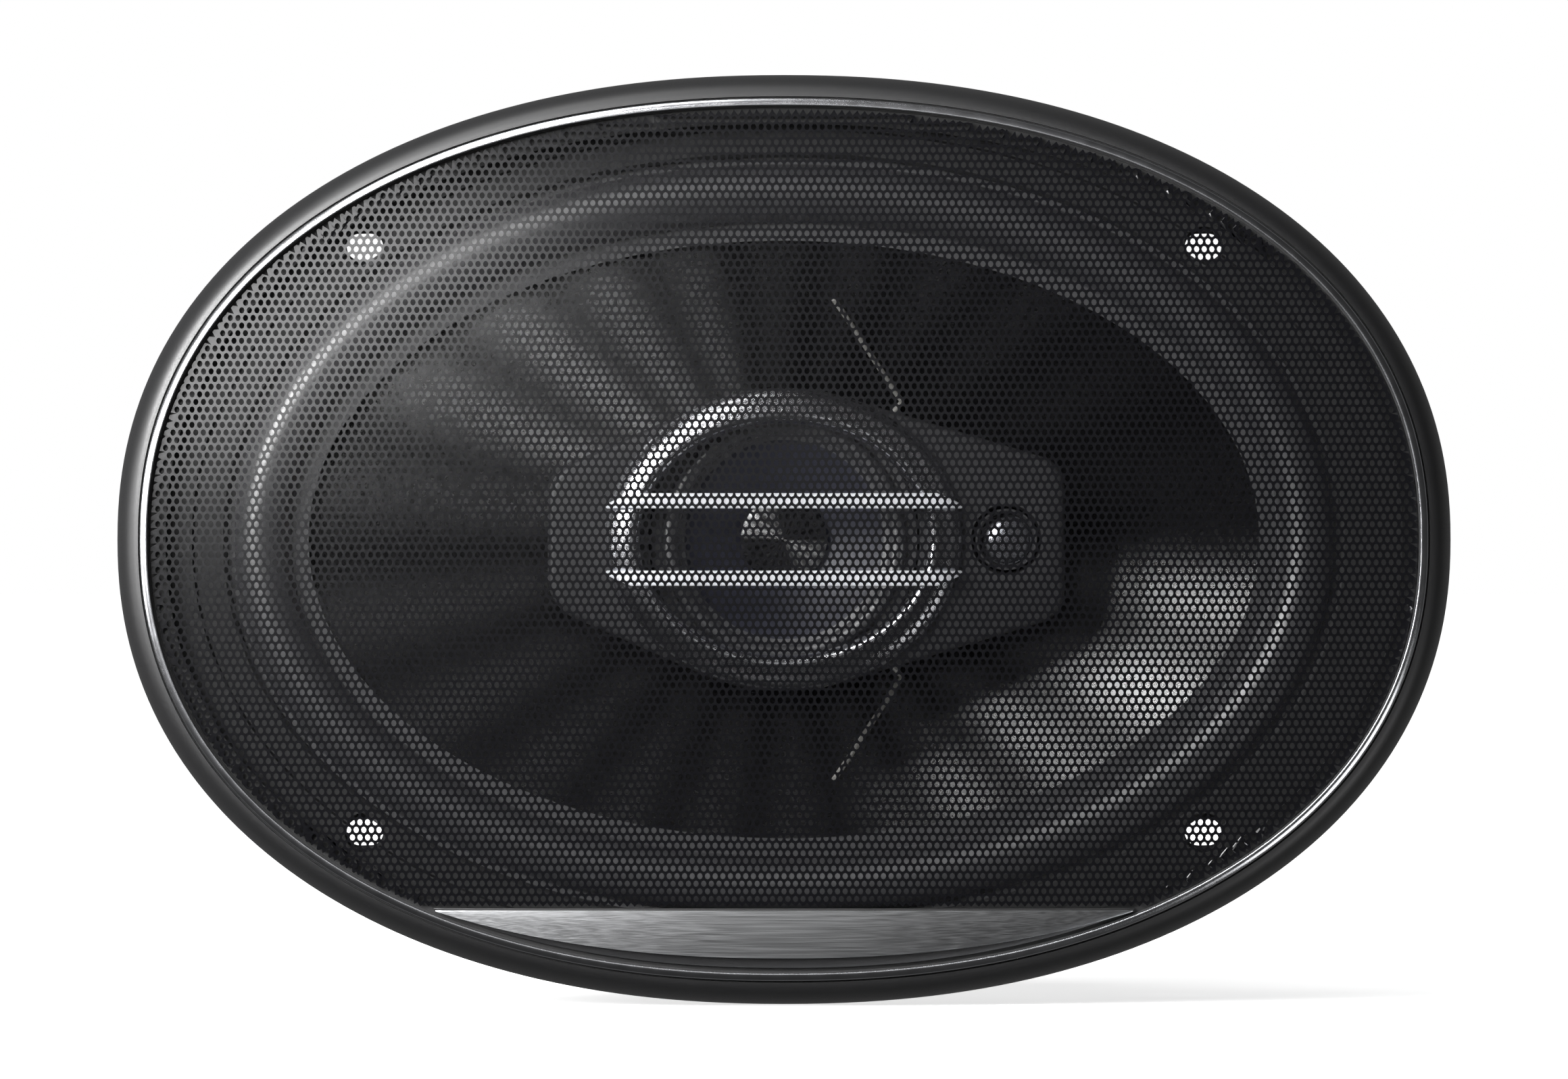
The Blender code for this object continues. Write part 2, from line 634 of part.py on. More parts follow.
def make_spider(finish):
    """Corrugated disc from the former to the basket's ledge."""
    rest = SPIDER_LEDGE_Y - SEAT - SPIDER_THICKNESS
    first, last = SPIDER_WAVE_RADII
    stations = [(SPIDER_OUTER_RADIUS, rest)]
    steps = SPIDER_WAVES * 4
    for k in range(steps + 1):
        radius = first + (last - first) * k / steps
        stations.append((radius, rest - SPIDER_WAVE_HEIGHT * sin(tau * k / 4)))
    stations.append((SPIDER_INNER_RADIUS, rest))
    bm = loft([round_loop(radius, y, ROUND_SEGMENTS) for radius, y in stations])
    add_sheet("spider", bm, SPIDER_THICKNESS, finish["spider_cloth"], 60)


def make_leads(finish):
    lift = LEAD_RADIUS + 0.35
    for name, side in (("cone_lead_upper", 1), ("cone_lead_lower", -1)):
        points = [Vector((x, cone_y(x, z) - lift, side * z)) for x, z in CONE_LEAD_ROUTE]
        tube(name, points, LEAD_RADIUS, finish["tinsel"])
    for name, side in (("tinsel_upper", 1), ("tinsel_lower", -1)):
        points = [Vector((x, y, side * z)) for x, y, z in TINSEL_ROUTE]
        tube(name, points, TINSEL_RADIUS, finish["copper"])


# ---------------------------------------------------------------- bridge, midrange, tweeter
def make_pod(finish):
    """Moulded bridge: a plate with two ears, a bowl behind it, and the drivers' cavities."""
    bm = loft([
        pod_loop(1.0, POD_FRONT),
        pod_loop(0.0, POD_FRONT + 1.0),
        pod_loop(0.5, -4.0),
        pod_loop(2.4, POD_EAR_BACK - 0.8),
        pod_loop(3.6, POD_EAR_BACK),
    ], caps=True)
    pod = add_body("bridge_pod", bm, finish["pod_abs"])
    wide, narrow = POD_BOWL_RADIUS
    profile = ((0, -3.0), (wide, -3.0), (wide, 3.0), (wide - 2.0, 9.0), (narrow, POD_BOWL_BACK - 1.0),
               (narrow - 1.4, POD_BOWL_BACK), (0, POD_BOWL_BACK))
    cut(pod, "pod_bowl_tool", turned(profile, SMALL_SEGMENTS + 8, ring=False), "UNION")
    profile = ((0, POD_FRONT - 3), (CAVITY_RADIUS, POD_FRONT - 3), (CAVITY_RADIUS, CAVITY_LEDGE_Y),
               (CAVITY_INNER_RADIUS, CAVITY_LEDGE_Y), (CAVITY_INNER_RADIUS, 2.0),
               (CAVITY_INNER_RADIUS - 4.4, CAVITY_FLOOR_Y), (0, CAVITY_FLOOR_Y))
    cut(pod, "midrange_cavity_tool", turned(profile, SMALL_SEGMENTS + 8, ring=False))
    profile = ((0, POD_FRONT - 3), (TWEETER_CAVITY_RADIUS, POD_FRONT - 3),
               (TWEETER_CAVITY_RADIUS, TWEETER_CAVITY_Y), (0, TWEETER_CAVITY_Y))
    hole = turned(profile, TINY_SEGMENTS + 4, (TWEETER_X, 0.0), ring=False)
    cut(pod, "tweeter_cavity_tool", hole)


def make_bezel(finish):
    loops = []
    for inset, y in BEZEL_PROFILE:
        half_width = BEZEL_HALF_WIDTH - inset
        half_height = BEZEL_HALF_HEIGHT - inset
        loops.append(oval_loop(half_width, half_height, 2.0, y, BEZEL_SEGMENTS))
    add_body("midrange_bezel", loft(loops, ring=True), finish["bright_trim"])


def make_guard_bars(finish):
    """Two flat bars over the midrange, with their ends sloped down on to the bezel."""
    for name, side in (("guard_bar_upper", 1), ("guard_bar_lower", -1)):
        sections = []
        stations = [(-x, y, width) for x, y, width in BAR_STATIONS]
        stations += [(x, y, width) for x, y, width in reversed(BAR_STATIONS)]
        for x, back, width in stations:
            outer = BAR_TIP_Z + (BAR_OUTER_Z - BAR_TIP_Z) * width
            front = back - BAR_THICKNESS
            corners = ((back, BAR_INNER_Z), (front, BAR_INNER_Z), (front, outer), (back, outer))
            sections.append([Vector((x, y, side * z)) for y, z in corners])
        add_body(name, loft(sections, caps=True), finish["bright_trim"])


def make_midrange(finish):
    sheet = MID_FRAME_SHEET
    front = MID_FRAME_Y - sheet
    base = MID_PLATE_Y[0] - SEAT
    inner = MID_PLATE_RADII[0]
    profile = ((24.1, front), (24.1, MID_FRAME_Y), (20.65, MID_FRAME_Y), (14.0, base), (inner, base),
               (inner, base - sheet), (13.8, base - sheet), (20.5, front))
    add_body("midrange_frame", turned(profile, SMALL_SEGMENTS), finish["black_steel"])

    lip = MID_LIP_Y - MID_SURROUND_THICKNESS
    outer, inner = MID_ROLL_RADII
    stations = [(23.9, lip)]
    for step in range(5):
        angle = pi * step / 4
        radius = outer + (inner - outer) * (1 - cos(angle)) / 2
        stations.append((radius, lip - MID_ROLL_HEIGHT * sin(angle)))
    stations.append((17.9, lip + 0.25))
    bm = loft([round_loop(radius, y, SMALL_SEGMENTS) for radius, y in stations])
    add_sheet("midrange_surround", bm, MID_SURROUND_THICKNESS, finish["rubber"], 60)

    stations = ((MID_CONE_RADII[0], MID_CONE_Y[0]), (17.4, MID_CONE_Y[0] + 0.45),
                (MID_CONE_RADII[1], MID_CONE_Y[1]))
    bm = loft([round_loop(radius, y, SMALL_SEGMENTS) for radius, y in stations])
    add_sheet("midrange_cone", bm, MID_CONE_THICKNESS, finish["mid_cone_film"])

    stations = []
    for step in range(3):
        angle = radians(90) * step / 3
        stations.append((MID_CAP_RADIUS * cos(angle), MID_CAP_Y - MID_CAP_HEIGHT * sin(angle)))
    bm = loft([round_loop(radius, y, SMALL_SEGMENTS) for radius, y in stations])
    tip = bm.verts.new((0, MID_CAP_Y - MID_CAP_HEIGHT, 0))
    bm.verts.ensure_lookup_table()
    crown = [bm.verts[2 * SMALL_SEGMENTS + k] for k in range(SMALL_SEGMENTS)]
    for one, other in zip(crown, crown[1:] + crown[:1]):
        bm.faces.new((one, other, tip))
    add_sheet("midrange_dust_cap", bm, 0.4, finish["cone_film"], 60)

    inner, middle, outer = MID_COIL_RADII
    start, winding, end = MID_COIL_Y
    profile = ((inner, start), (middle, start), (middle, winding), (outer, winding), (outer, end),
               (inner, end))
    add_body("midrange_coil", turned(profile, SMALL_SEGMENTS), finish["copper"])

    inner, outer = MID_PLATE_RADII
    low, high = MID_PLATE_Y
    profile = ((inner, low), (outer, low), (outer, high), (inner, high))
    add_body("midrange_top_plate", turned(profile, SMALL_SEGMENTS), finish["zinc_steel"])
    inner, outer = MID_MAGNET_RADII
    low, high = MID_MAGNET_Y
    profile = ((inner, low), (outer, low), (outer, high), (inner, high))
    add_body("midrange_magnet", turned(profile, SMALL_SEGMENTS), finish["ferrite"])
    top, low, high = MID_YOKE_Y
    profile = ((0, top), (MID_POLE_RADIUS, top), (MID_POLE_RADIUS, low), (MID_YOKE_RADIUS, low),
               (MID_YOKE_RADIUS, high), (0, high))
    add_body("midrange_yoke", turned(profile, SMALL_SEGMENTS, ring=False), finish["zinc_steel"])


def make_tweeter(finish):
    centre = (TWEETER_X, 0.0)
    place = (TWEETER_X, 0.0, 0.0)
    back = TWEETER_CAVITY_Y - SEAT
    profile = ((0, back), (5.6, back), (5.6, POD_FRONT + 0.2), (5.2, POD_FRONT), (4.75, -7.9),
               (4.75, -6.5), (4.3, -6.5), (4.3, back - 0.8), (0, back - 0.8))
    bm = turned(profile, TINY_SEGMENTS + 4, centre, ring=False)
    add_body("tweeter_housing", bm, finish["pod_abs"], place)

    loops = [round_loop(4.55, TWEETER_DOME_Y, TINY_SEGMENTS, TWEETER_X)]
    for step in range(3):
        angle = radians(90) * step / 3
        radius = TWEETER_DOME_RADIUS * cos(angle)
        y = TWEETER_DOME_Y - 0.05 - (TWEETER_DOME_HEIGHT - 0.05) * sin(angle)
        loops.append(round_loop(radius, y, TINY_SEGMENTS, TWEETER_X))
    bm = loft(loops)
    tip = bm.verts.new((TWEETER_X, TWEETER_DOME_Y - TWEETER_DOME_HEIGHT, 0))
    bm.verts.ensure_lookup_table()
    crown = [bm.verts[3 * TINY_SEGMENTS + k] for k in range(TINY_SEGMENTS)]
    for one, other in zip(crown, crown[1:] + crown[:1]):
        bm.faces.new((one, other, tip))
    add_sheet("tweeter_dome", bm, 0.25, finish["tweeter_film"], 60)

    profile = ((3.5, -6.4), (3.9, -6.4), (3.9, -4.6), (3.5, -4.6))
    add_body("tweeter_coil", turned(profile, TINY_SEGMENTS, centre), finish["copper"], place)
    face = back - 0.8 - SEAT
    profile = ((0, -6.2), (2.9, -6.2), (2.9, face), (0, face))
    bm = turned(profile, TINY_SEGMENTS, centre, ring=False)
    add_body("tweeter_magnet", bm, finish["zinc_steel"], place)


# ---------------------------------------------------------------- terminals
def make_terminals(finish):
    low = (BOARD_X[0], BOARD_Y[0], -BOARD_HALF_HEIGHT)
    high = (BOARD_X[1], BOARD_Y[1], BOARD_HALF_HEIGHT)
    add_body("terminal_board", block(low, high, 0.4), finish["board"])
    x = BOARD_X[1] + SEAT
    for name, z, width, hole_radius in TABS:
        bm = block((x, TAB_Y[0], z), (x + TAB_THICKNESS, TAB_Y[1], z + width))
        end = [v for v in bm.verts if v.co.y > TAB_Y[1] - WELD]
        lean = 1 - 2.0 / width
        bmesh.ops.scale(bm, vec=(1, 1, lean), verts=end,
                        space=Matrix.Translation((0, 0, -(z + width / 2))))
        tab = add_body(name, bm, finish["tinned_brass"])
        hole = loft([round_loop(hole_radius, y, 10) for y in (-2.0, 2.0)], caps=True)
        hole.transform(Matrix.Rotation(radians(90), 4, "Z"))
        place = (x + TAB_THICKNESS / 2, TAB_Y[1] - TAB_HOLE_FROM_TIP, z + width / 2)
        bmesh.ops.translate(hole, vec=place, verts=hole.verts)
        cut(tab, f"{name}_hole_tool", hole)

    half = CAPACITOR_LENGTH / 2
    radius = CAPACITOR_RADIUS
    profile = ((0, -half), (radius - 0.6, -half), (radius, -half + 0.8), (radius, half - 2.4),
               (radius - 0.5, half - 1.8), (radius, half - 1.2), (radius - 0.6, half), (0, half))
    bm = turned(profile, TINY_SEGMENTS, ring=False)
    bm.transform(Matrix.Rotation(radians(90), 4, "X"))
    bmesh.ops.translate(bm, vec=CAPACITOR_PLACE, verts=bm.verts)
    add_body("crossover_capacitor", bm, finish["capacitor_sleeve"])


# ---------------------------------------------------------------- grille
def make_trim_ring(finish):
    """Moulded ring: rounded shoulder, seat of the inlay, ledge of the sheet, skirt and pegs."""
    arc_width, arc_height = RING_ARC
    profile = [(0.0, RING_BACK_Y)]
    for angle in (0, 22, 43, 63, 84):
        inset = arc_width * (1 - cos(radians(angle)))
        profile.append((inset, RING_SHOULDER_Y - arc_height * sin(radians(angle))))
    ledge_start, ledge_end = LEDGE_INSET
    ledge_front, ledge_back = LEDGE_Y
    profile += [(INLAY_SEAT_INSET, INLAY_SEAT_Y), (ledge_start, INLAY_SEAT_Y),
                (ledge_start, ledge_front), (ledge_end, ledge_front), (ledge_end, ledge_back),
                (4.6, ledge_back), (3.2, -5.0), (SKIRT_THICKNESS, RING_SHOULDER_Y),
                (SKIRT_THICKNESS, RING_BACK_Y)]
    bm = loft([rim_loop(inset, y) for inset, y in profile], ring=True)
    ring = add_body("grille_trim_ring", bm, finish["satin_abs"])
    chin_inset = MESH_INSET + 0.4
    chin = foot_strip(CHIN_CHORD_Z, (chin_inset, chin_inset), 0.0, CHIN_THICKNESS)
    cut(ring, "badge_seat_tool", chin, "UNION")
    pegs = []
    for x, z in peg_places():
        loops = []
        for y, radius in ((ledge_back - 0.6, PEG_RADIUS), (-1.2, PEG_RADIUS), (PEG_TIP_Y, 0.8)):
            loops.append([p + Vector((x, 0, z)) for p in round_loop(radius, y, 8)])
        pegs.append(loft(loops, caps=True))
    cut(ring, "snap_pegs_tool", join_bodies(*pegs), "UNION")


def foot_strip(chord_z, insets, lift, thickness, steps=20):
    """The segment of the dome between a level chord and the rim, at the foot of the grille."""
    middle_inset, end_inset = insets
    first = chord_angle(chord_z - 0.35, end_inset)
    sections = []
    for k in range(steps + 1):
        angle = first + (3 * pi - 2 * first) * k / steps
        inset = middle_inset + (end_inset - middle_inset) * (2 * k / steps - 1) ** 2
        x, z = rim_point(inset, angle)
        rim_front = dome_y(x, z) - lift
        chord_front = dome_y(x, chord_z) - lift
        sections.append([
            Vector((x, chord_front, chord_z)), Vector((x, rim_front, z)),
            Vector((x, rim_front + thickness, z)), Vector((x, chord_front + thickness, chord_z)),
        ])
    return loft(sections, caps=True)


def chord_angle(chord_z, inset):
    """The rim's angle, in the lower left quarter, where it passes the chord at this inset."""
    low, high = pi, 1.5 * pi
    for _ in range(40):
        middle = (low + high) / 2
        if rim_point(inset, middle)[1] > chord_z:
            low = middle
        else:
            high = middle
    return high


def make_inlay(finish):
    profile = ((4.4, INLAY_SEAT_Y - SEAT), (4.4, -10.15), (5.05, -10.6), (5.75, -10.75),
               (5.8, INLAY_SEAT_Y - SEAT))
    bm = loft([rim_loop(inset, y) for inset, y in profile], ring=True)
    add_body("grille_inlay_ring", bm, finish["bright_trim"], smooth_angle=60)


def clip(polygon, corner, next_corner):
    """Keep the part of a convex polygon on the left of the line through two points."""
    def side(p):
        return ((next_corner[0] - corner[0]) * (p[1] - corner[1])
                - (next_corner[1] - corner[1]) * (p[0] - corner[0]))

    kept = []
    for p, q in zip(polygon, polygon[1:] + polygon[:1]):
        a, b = side(p), side(q)
        if a >= 0:
            kept.append(p)
        if (a >= 0) != (b >= 0):
            share = a / (a - b)
            kept.append((p[0] + (q[0] - p[0]) * share, p[1] + (q[1] - p[1]) * share))
    return kept


def area_of(polygon):
    return sum(p[0] * q[1] - q[0] * p[1] for p, q in zip(polygon, polygon[1:] + polygon[:1])) / 2


def sheet_outline(border):
    """The sheet's edge, or a line that far inside it, with the straight cut above the badge."""
    outline = [rim_point(MESH_INSET + border, tau * k / RIM_SEGMENTS) for k in range(RIM_SEGMENTS)]
    chord = CHIN_CHORD_Z + SEAT + border
    return clip(outline, (-1.0, chord), (1.0, chord))


def mesh_holes():
    """Six-sided holes in staggered rows, cut off where they reach the sheet's border."""
    width = MESH_PITCH - MESH_WEB
    hexagon = [(width / 2, width / 3), (0, 2 * width / 3), (-width / 2, width / 3),
               (-width / 2, -width / 3), (0, -2 * width / 3), (width / 2, -width / 3)]
    border = sheet_outline(MESH_BORDER)
    rows = round(HALF_HEIGHT / MESH_PITCH)
    columns = round(HALF_WIDTH / MESH_PITCH) + 1
    holes = []
    for row in range(-rows, rows + 1):
        for column in range(-columns, columns + 1):
            x = (column + (row % 2) / 2) * MESH_PITCH
            hole = [(x + dx, row * MESH_PITCH + dz) for dx, dz in hexagon]
            for corner, next_corner in zip(border, border[1:] + border[:1]):
                hole = clip(hole, corner, next_corner)
            if hole and area_of(hole) > MESH_LEAST_HOLE * area_of(hexagon):
                holes.append(hole)
    return holes


def make_grille_mesh(finish):
    """Domed sheet, filled between its outline and its holes."""
    bm = bmesh.new()
    for polygon in [sheet_outline(0.0), *mesh_holes()]:
        corners = [polygon[0]]
        for x, z in polygon[1:]:
            if min(hypot(x - a, z - b) for a, b in (corners[0], corners[-1])) > MESH_LEAST_EDGE:
                corners.append((x, z))
        verts = [bm.verts.new((x, 0, z)) for x, z in corners]
        for one, other in zip(verts, verts[1:] + verts[:1]):
            bm.edges.new((one, other))
    bmesh.ops.triangle_fill(bm, edges=bm.edges, use_beauty=True, normal=(0, -1, 0))
    for vert in bm.verts:
        vert.co.y = dome_y(vert.co.x, vert.co.z)
    add_sheet("grille_mesh", bm, MESH_THICKNESS, finish["black_sheet"])


def make_badge_plate(finish):
    bm = foot_strip(BADGE_CHORD_Z, BADGE_INSET, SEAT + BADGE_THICKNESS, BADGE_THICKNESS, 16)
    add_body("grille_badge_plate", bm, finish["brushed_aluminium"])


def clear_scene():
    for item in list(bpy.data.objects):
        bpy.data.objects.remove(item, do_unlink=True)


def main():
    clear_scene()
    finish = make_materials()
    make_basket(finish)
    make_gasket(finish)
    make_motor(finish)
    make_post(finish)
    make_surround(finish)
    make_cone(finish)
    make_voice_coil(finish)
    make_spider(finish)
    make_leads(finish)
    make_pod(finish)
    make_bezel(finish)
    make_guard_bars(finish)
    make_midrange(finish)
    make_tweeter(finish)
    make_terminals(finish)
    make_trim_ring(finish)
    make_inlay(finish)
    make_grille_mesh(finish)
    make_badge_plate(finish)


if __name__ == "__main__":
    main()
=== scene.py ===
"""Finished surfaces of a three-way coaxial car speaker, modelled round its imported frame.

Everything is in the frame's own place: X runs across the speaker's long axis, Z up its short
axis and the front faces -Y, with the origin on the axis in the plane of the flange's rear face.
Shapes are written in millimetres and put into the mesh in metres.
"""

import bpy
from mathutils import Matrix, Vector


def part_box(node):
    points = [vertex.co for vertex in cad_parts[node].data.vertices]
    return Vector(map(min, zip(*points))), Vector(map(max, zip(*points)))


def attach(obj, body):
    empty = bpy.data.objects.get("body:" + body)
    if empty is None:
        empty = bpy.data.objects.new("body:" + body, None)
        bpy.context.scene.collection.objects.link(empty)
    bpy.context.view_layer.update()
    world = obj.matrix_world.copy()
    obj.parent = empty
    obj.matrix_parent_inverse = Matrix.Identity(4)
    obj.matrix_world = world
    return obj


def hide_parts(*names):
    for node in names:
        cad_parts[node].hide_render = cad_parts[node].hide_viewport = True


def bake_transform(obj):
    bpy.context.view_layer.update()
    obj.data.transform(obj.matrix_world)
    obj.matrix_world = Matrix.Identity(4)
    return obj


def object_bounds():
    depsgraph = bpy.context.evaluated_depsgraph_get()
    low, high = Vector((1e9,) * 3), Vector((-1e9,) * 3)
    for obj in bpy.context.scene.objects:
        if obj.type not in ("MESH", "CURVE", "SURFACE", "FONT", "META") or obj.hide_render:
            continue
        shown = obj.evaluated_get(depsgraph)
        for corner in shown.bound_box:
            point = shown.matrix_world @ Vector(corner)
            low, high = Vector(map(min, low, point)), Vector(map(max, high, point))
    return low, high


bl_info = {
    "name": "Coaxial Speaker Surfaces",
    "version": (1, 0, 0),
    "blender": (4, 5, 0),
    "location": "View3D > Sidebar > Speaker",
    "description": "Models the finished surfaces of an oval coaxial car speaker round its frame",
    "category": "Object",
}

from math import copysign, cos, hypot, pi, radians, sin, tau

import bmesh
import bpy
import numpy as np
from bpy.props import FloatProperty, FloatVectorProperty, IntProperty, PointerProperty
from mathutils import Matrix, Vector

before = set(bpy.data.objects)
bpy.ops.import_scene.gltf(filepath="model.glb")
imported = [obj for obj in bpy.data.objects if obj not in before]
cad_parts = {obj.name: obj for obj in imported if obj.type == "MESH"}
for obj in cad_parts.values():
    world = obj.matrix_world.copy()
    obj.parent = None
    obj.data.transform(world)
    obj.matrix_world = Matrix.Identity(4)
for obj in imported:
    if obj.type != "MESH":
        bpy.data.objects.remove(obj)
CAD_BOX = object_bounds()

MM = 0.001
SEAT = 0.3                        # gap between two pieces that touch
OUTLINE_POWER = 2.183             # the front's outline is a superellipse
RING_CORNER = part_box("grille_trim_ring")[1] / MM
HALF_WIDTH = RING_CORNER.x
HALF_HEIGHT = RING_CORNER.z
MESH_INSET = 6.35                 # the perforated sheet's edge, inside the outline
MESH_EDGE_Y = -9.3
MESH_DOME = 8.95                  # the sheet's rise over its edge
SCREWS = [(x, z) for x in (-75.5, 75.5) for z in (-52.7, 52.7)]
PEG_INSET = 6.1
PEG_ANGLES = range(30, 360, 60)


def low_y(node):
    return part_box(node)[0].y / MM


def srgb(text):
    """The linear colour of an sRGB hex value such as #1c1d1f."""
    parts = [int(text[k:k + 2], 16) / 255 for k in (1, 3, 5)]
    return tuple(p / 12.92 if p <= 0.04045 else ((p + 0.055) / 1.055) ** 2.4 for p in parts)


# ---------------------------------------------------------------- what a user would change
def length_value(name, description, default, least, most):
    return FloatProperty(name=name, description=description, default=default, min=least, max=most,
                         unit="LENGTH", precision=5)


def colour_value(name, description, default):
    return FloatVectorProperty(name=name, description=description, subtype="COLOR", size=3,
                               min=0, max=1, default=srgb(default))


class SpeakerSizes(bpy.types.PropertyGroup):
    """Sizes of the visible details."""

    hole_pitch: length_value(
        "Hole pitch", "Distance between the grille's holes and between its rows",
        0.00137, 0.001, 0.02)
    hole_width: length_value(
        "Hole width", "Width of one hole of the grille", 0.00098, 0.0005, 0.018)
    hole_height: length_value(
        "Hole height", "Height of one hole of the grille", 0.00118, 0.0005, 0.018)
    sheet_thickness: length_value(
        "Sheet thickness", "Thickness of the perforated sheet", 0.00022, 0.0002, 0.0008)
    oval_steps: IntProperty(
        name="Oval steps", description="Faces round each oval piece", default=256, min=48, max=512)
    round_steps: IntProperty(
        name="Round steps", description="Faces round each turned piece", default=96, min=24,
        max=256)
    spider_waves: IntProperty(
        name="Spider waves", description="Corrugations of the spider", default=6, min=2, max=9)


class SpeakerColours(bpy.types.PropertyGroup):
    """Main colours of the finishes."""

    moulding: colour_value("Mouldings", "Colour of the trim ring's satin plastic", "#0d0d0e")
    sheet: colour_value("Grille sheet", "Colour of the coat on the perforated sheet", "#08080a")
    surround: colour_value("Surround", "Colour of the rubber of the surround", "#3a3a3c")
    cone: colour_value("Cone", "Colour of the woofer's glossy cone", "#0b0b0c")
    midrange: colour_value("Midrange cone", "Colour of the midrange's coated paper", "#2b2c37")
    bright: colour_value("Bright trim", "Colour of the plated and painted trim", "#e3e4e8")
    badge: colour_value("Badge plate", "Colour of the brushed aluminium", "#c9cacc")


def sizes():
    return bpy.context.scene.speaker_sizes


def colours():
    return bpy.context.scene.speaker_colours


# ---------------------------------------------------------------- outlines
def oval_point(half_width, half_height, power, angle):
    c, s = cos(angle), sin(angle)
    x = half_width * copysign(abs(c) ** (2 / power), c)
    z = half_height * copysign(abs(s) ** (2 / power), s)
    return x, z


def rim_point(inset, angle):
    """A point (x, z) that lies a true distance inside the speaker's outline."""
    x, z = oval_point(HALF_WIDTH, HALF_HEIGHT, OUTLINE_POWER, angle)
    normal_x = copysign(abs(x / HALF_WIDTH) ** (OUTLINE_POWER - 1) / HALF_WIDTH, x)
    normal_z = copysign(abs(z / HALF_HEIGHT) ** (OUTLINE_POWER - 1) / HALF_HEIGHT, z)
    length = hypot(normal_x, normal_z)
    return x - inset * normal_x / length, z - inset * normal_z / length


def oval_loop(half_width, half_height, power, y, steps=None):
    steps = steps or sizes().oval_steps
    points = [oval_point(half_width, half_height, power, tau * k / steps) for k in range(steps)]
    return [(x, y, z) for x, z in points]


def rim_loop(inset, y, steps=None):
    steps = steps or sizes().oval_steps
    points = [rim_point(inset, tau * k / steps) for k in range(steps)]
    return [(x, y, z) for x, z in points]


def circle_loop(radius, y):
    return oval_loop(radius, radius, 2.0, y, 128)


def dome_y(x, z):
    """Front of the domed grille sheet, for numbers or arrays."""
    half_width, half_height = HALF_WIDTH - MESH_INSET, HALF_HEIGHT - MESH_INSET
    fill = np.abs(x / half_width) ** OUTLINE_POWER + np.abs(z / half_height) ** OUTLINE_POWER
    return MESH_EDGE_Y - MESH_DOME * np.maximum(0.0, 1.0 - fill)


# ---------------------------------------------------------------- modelling
def begin(name, count):
    """A primitive circle in edit mode, from which a piece is swept or turned."""
    bpy.ops.object.select_all(action="DESELECT")
    bpy.ops.mesh.primitive_circle_add(vertices=count, radius=10 * MM)
    piece = bpy.context.object
    piece.name = piece.data.name = name
    bpy.ops.object.mode_set(mode="EDIT")
    bpy.ops.mesh.select_mode(type="VERT")
    bpy.ops.mesh.select_all(action="SELECT")
    return piece


def lay(piece, row, places):
    """Put a row of vertices on its places, and return each one's number by where it lies."""
    order = {}
    for k, (vert, place) in enumerate(zip(row, places)):
        vert.co = Vector(place) * MM
        order[vert.co.to_tuple()] = k
    bmesh.update_edit_mesh(piece.data)
    return order


def sweep(name, loops, closed=False, caps=False):
    """Extrude a line of vertices from loop to loop, and join the last to the first if closed."""
    piece = begin(name, len(loops[0]))
    order = lay(piece, bmesh.from_edit_mesh(piece.data).verts, loops[0])
    for loop in [*loops[1:], loops[0]] if closed else loops[1:]:
        bpy.ops.mesh.extrude_edges_move()
        fresh = [vert for vert in bmesh.from_edit_mesh(piece.data).verts if vert.select]
        fresh.sort(key=lambda vert: order[vert.co.to_tuple()])
        order = lay(piece, fresh, loop)
    if caps:
        bpy.ops.mesh.select_all(action="SELECT")
        bpy.ops.mesh.fill_holes(sides=0)
    return settle(piece)


def turn(name, profile, centre=(0.0, 0.0), closed=True, steps=None):
    """Spin a section of (radius, y) round a line along Y through centre (x, z)."""
    piece = begin(name, len(profile))
    mesh = bmesh.from_edit_mesh(piece.data)
    lay(piece, mesh.verts, [(centre[0] + radius, y, centre[1]) for radius, y in profile])
    if not closed:
        mesh.verts.ensure_lookup_table()
        for edge in mesh.edges:
            edge.select_set(False)
        ends = {mesh.verts[0], mesh.verts[-1]}
        for edge in mesh.edges:
            edge.select_set(set(edge.verts) == ends)
        bpy.ops.mesh.delete(type="EDGE_FACE")
    bpy.ops.mesh.select_all(action="SELECT")
    axis_foot = (centre[0] * MM, 0, centre[1] * MM)
    bpy.ops.mesh.spin(steps=steps or sizes().round_steps, angle=tau, center=axis_foot,
                      axis=(0, 1, 0), use_auto_merge=True)
    return settle(piece)


def settle(piece):
    """Merge what meets, turn the faces outwards and leave edit mode."""
    bpy.ops.mesh.select_all(action="SELECT")
    bpy.ops.mesh.remove_doubles(threshold=0.002 * MM)
    bpy.ops.mesh.normals_make_consistent(inside=False)
    bpy.ops.object.mode_set(mode="OBJECT")
    return piece


def face_front(piece):
    """Turn an open skin's faces to the front."""
    if sum(face.normal.y * face.area for face in piece.data.polygons) > 0:
        piece.data.flip_normals()


def pick(piece):
    """Make a piece the only selected one and the active one."""
    bpy.ops.object.select_all(action="DESELECT")
    piece.select_set(True)
    bpy.context.view_layer.objects.active = piece


def work(piece, kind, **settings):
    """Add one modifier with its settings and apply it."""
    pick(piece)
    modifier = piece.modifiers.new(kind.lower(), kind)
    for setting, value in settings.items():
        setattr(modifier, setting, value)
    bpy.ops.object.modifier_apply(modifier=modifier.name)
    return piece


def soften(piece, width, segments=2, angle=35):
    return work(piece, "BEVEL", width=width * MM, segments=segments, limit_method="ANGLE",
                angle_limit=radians(angle), harden_normals=False)


def thicken(piece, thickness):
    """Give an open skin its wall, behind its front."""
    face_front(piece)
    return work(piece, "SOLIDIFY", thickness=thickness * MM, offset=-1.0, use_even_offset=True)


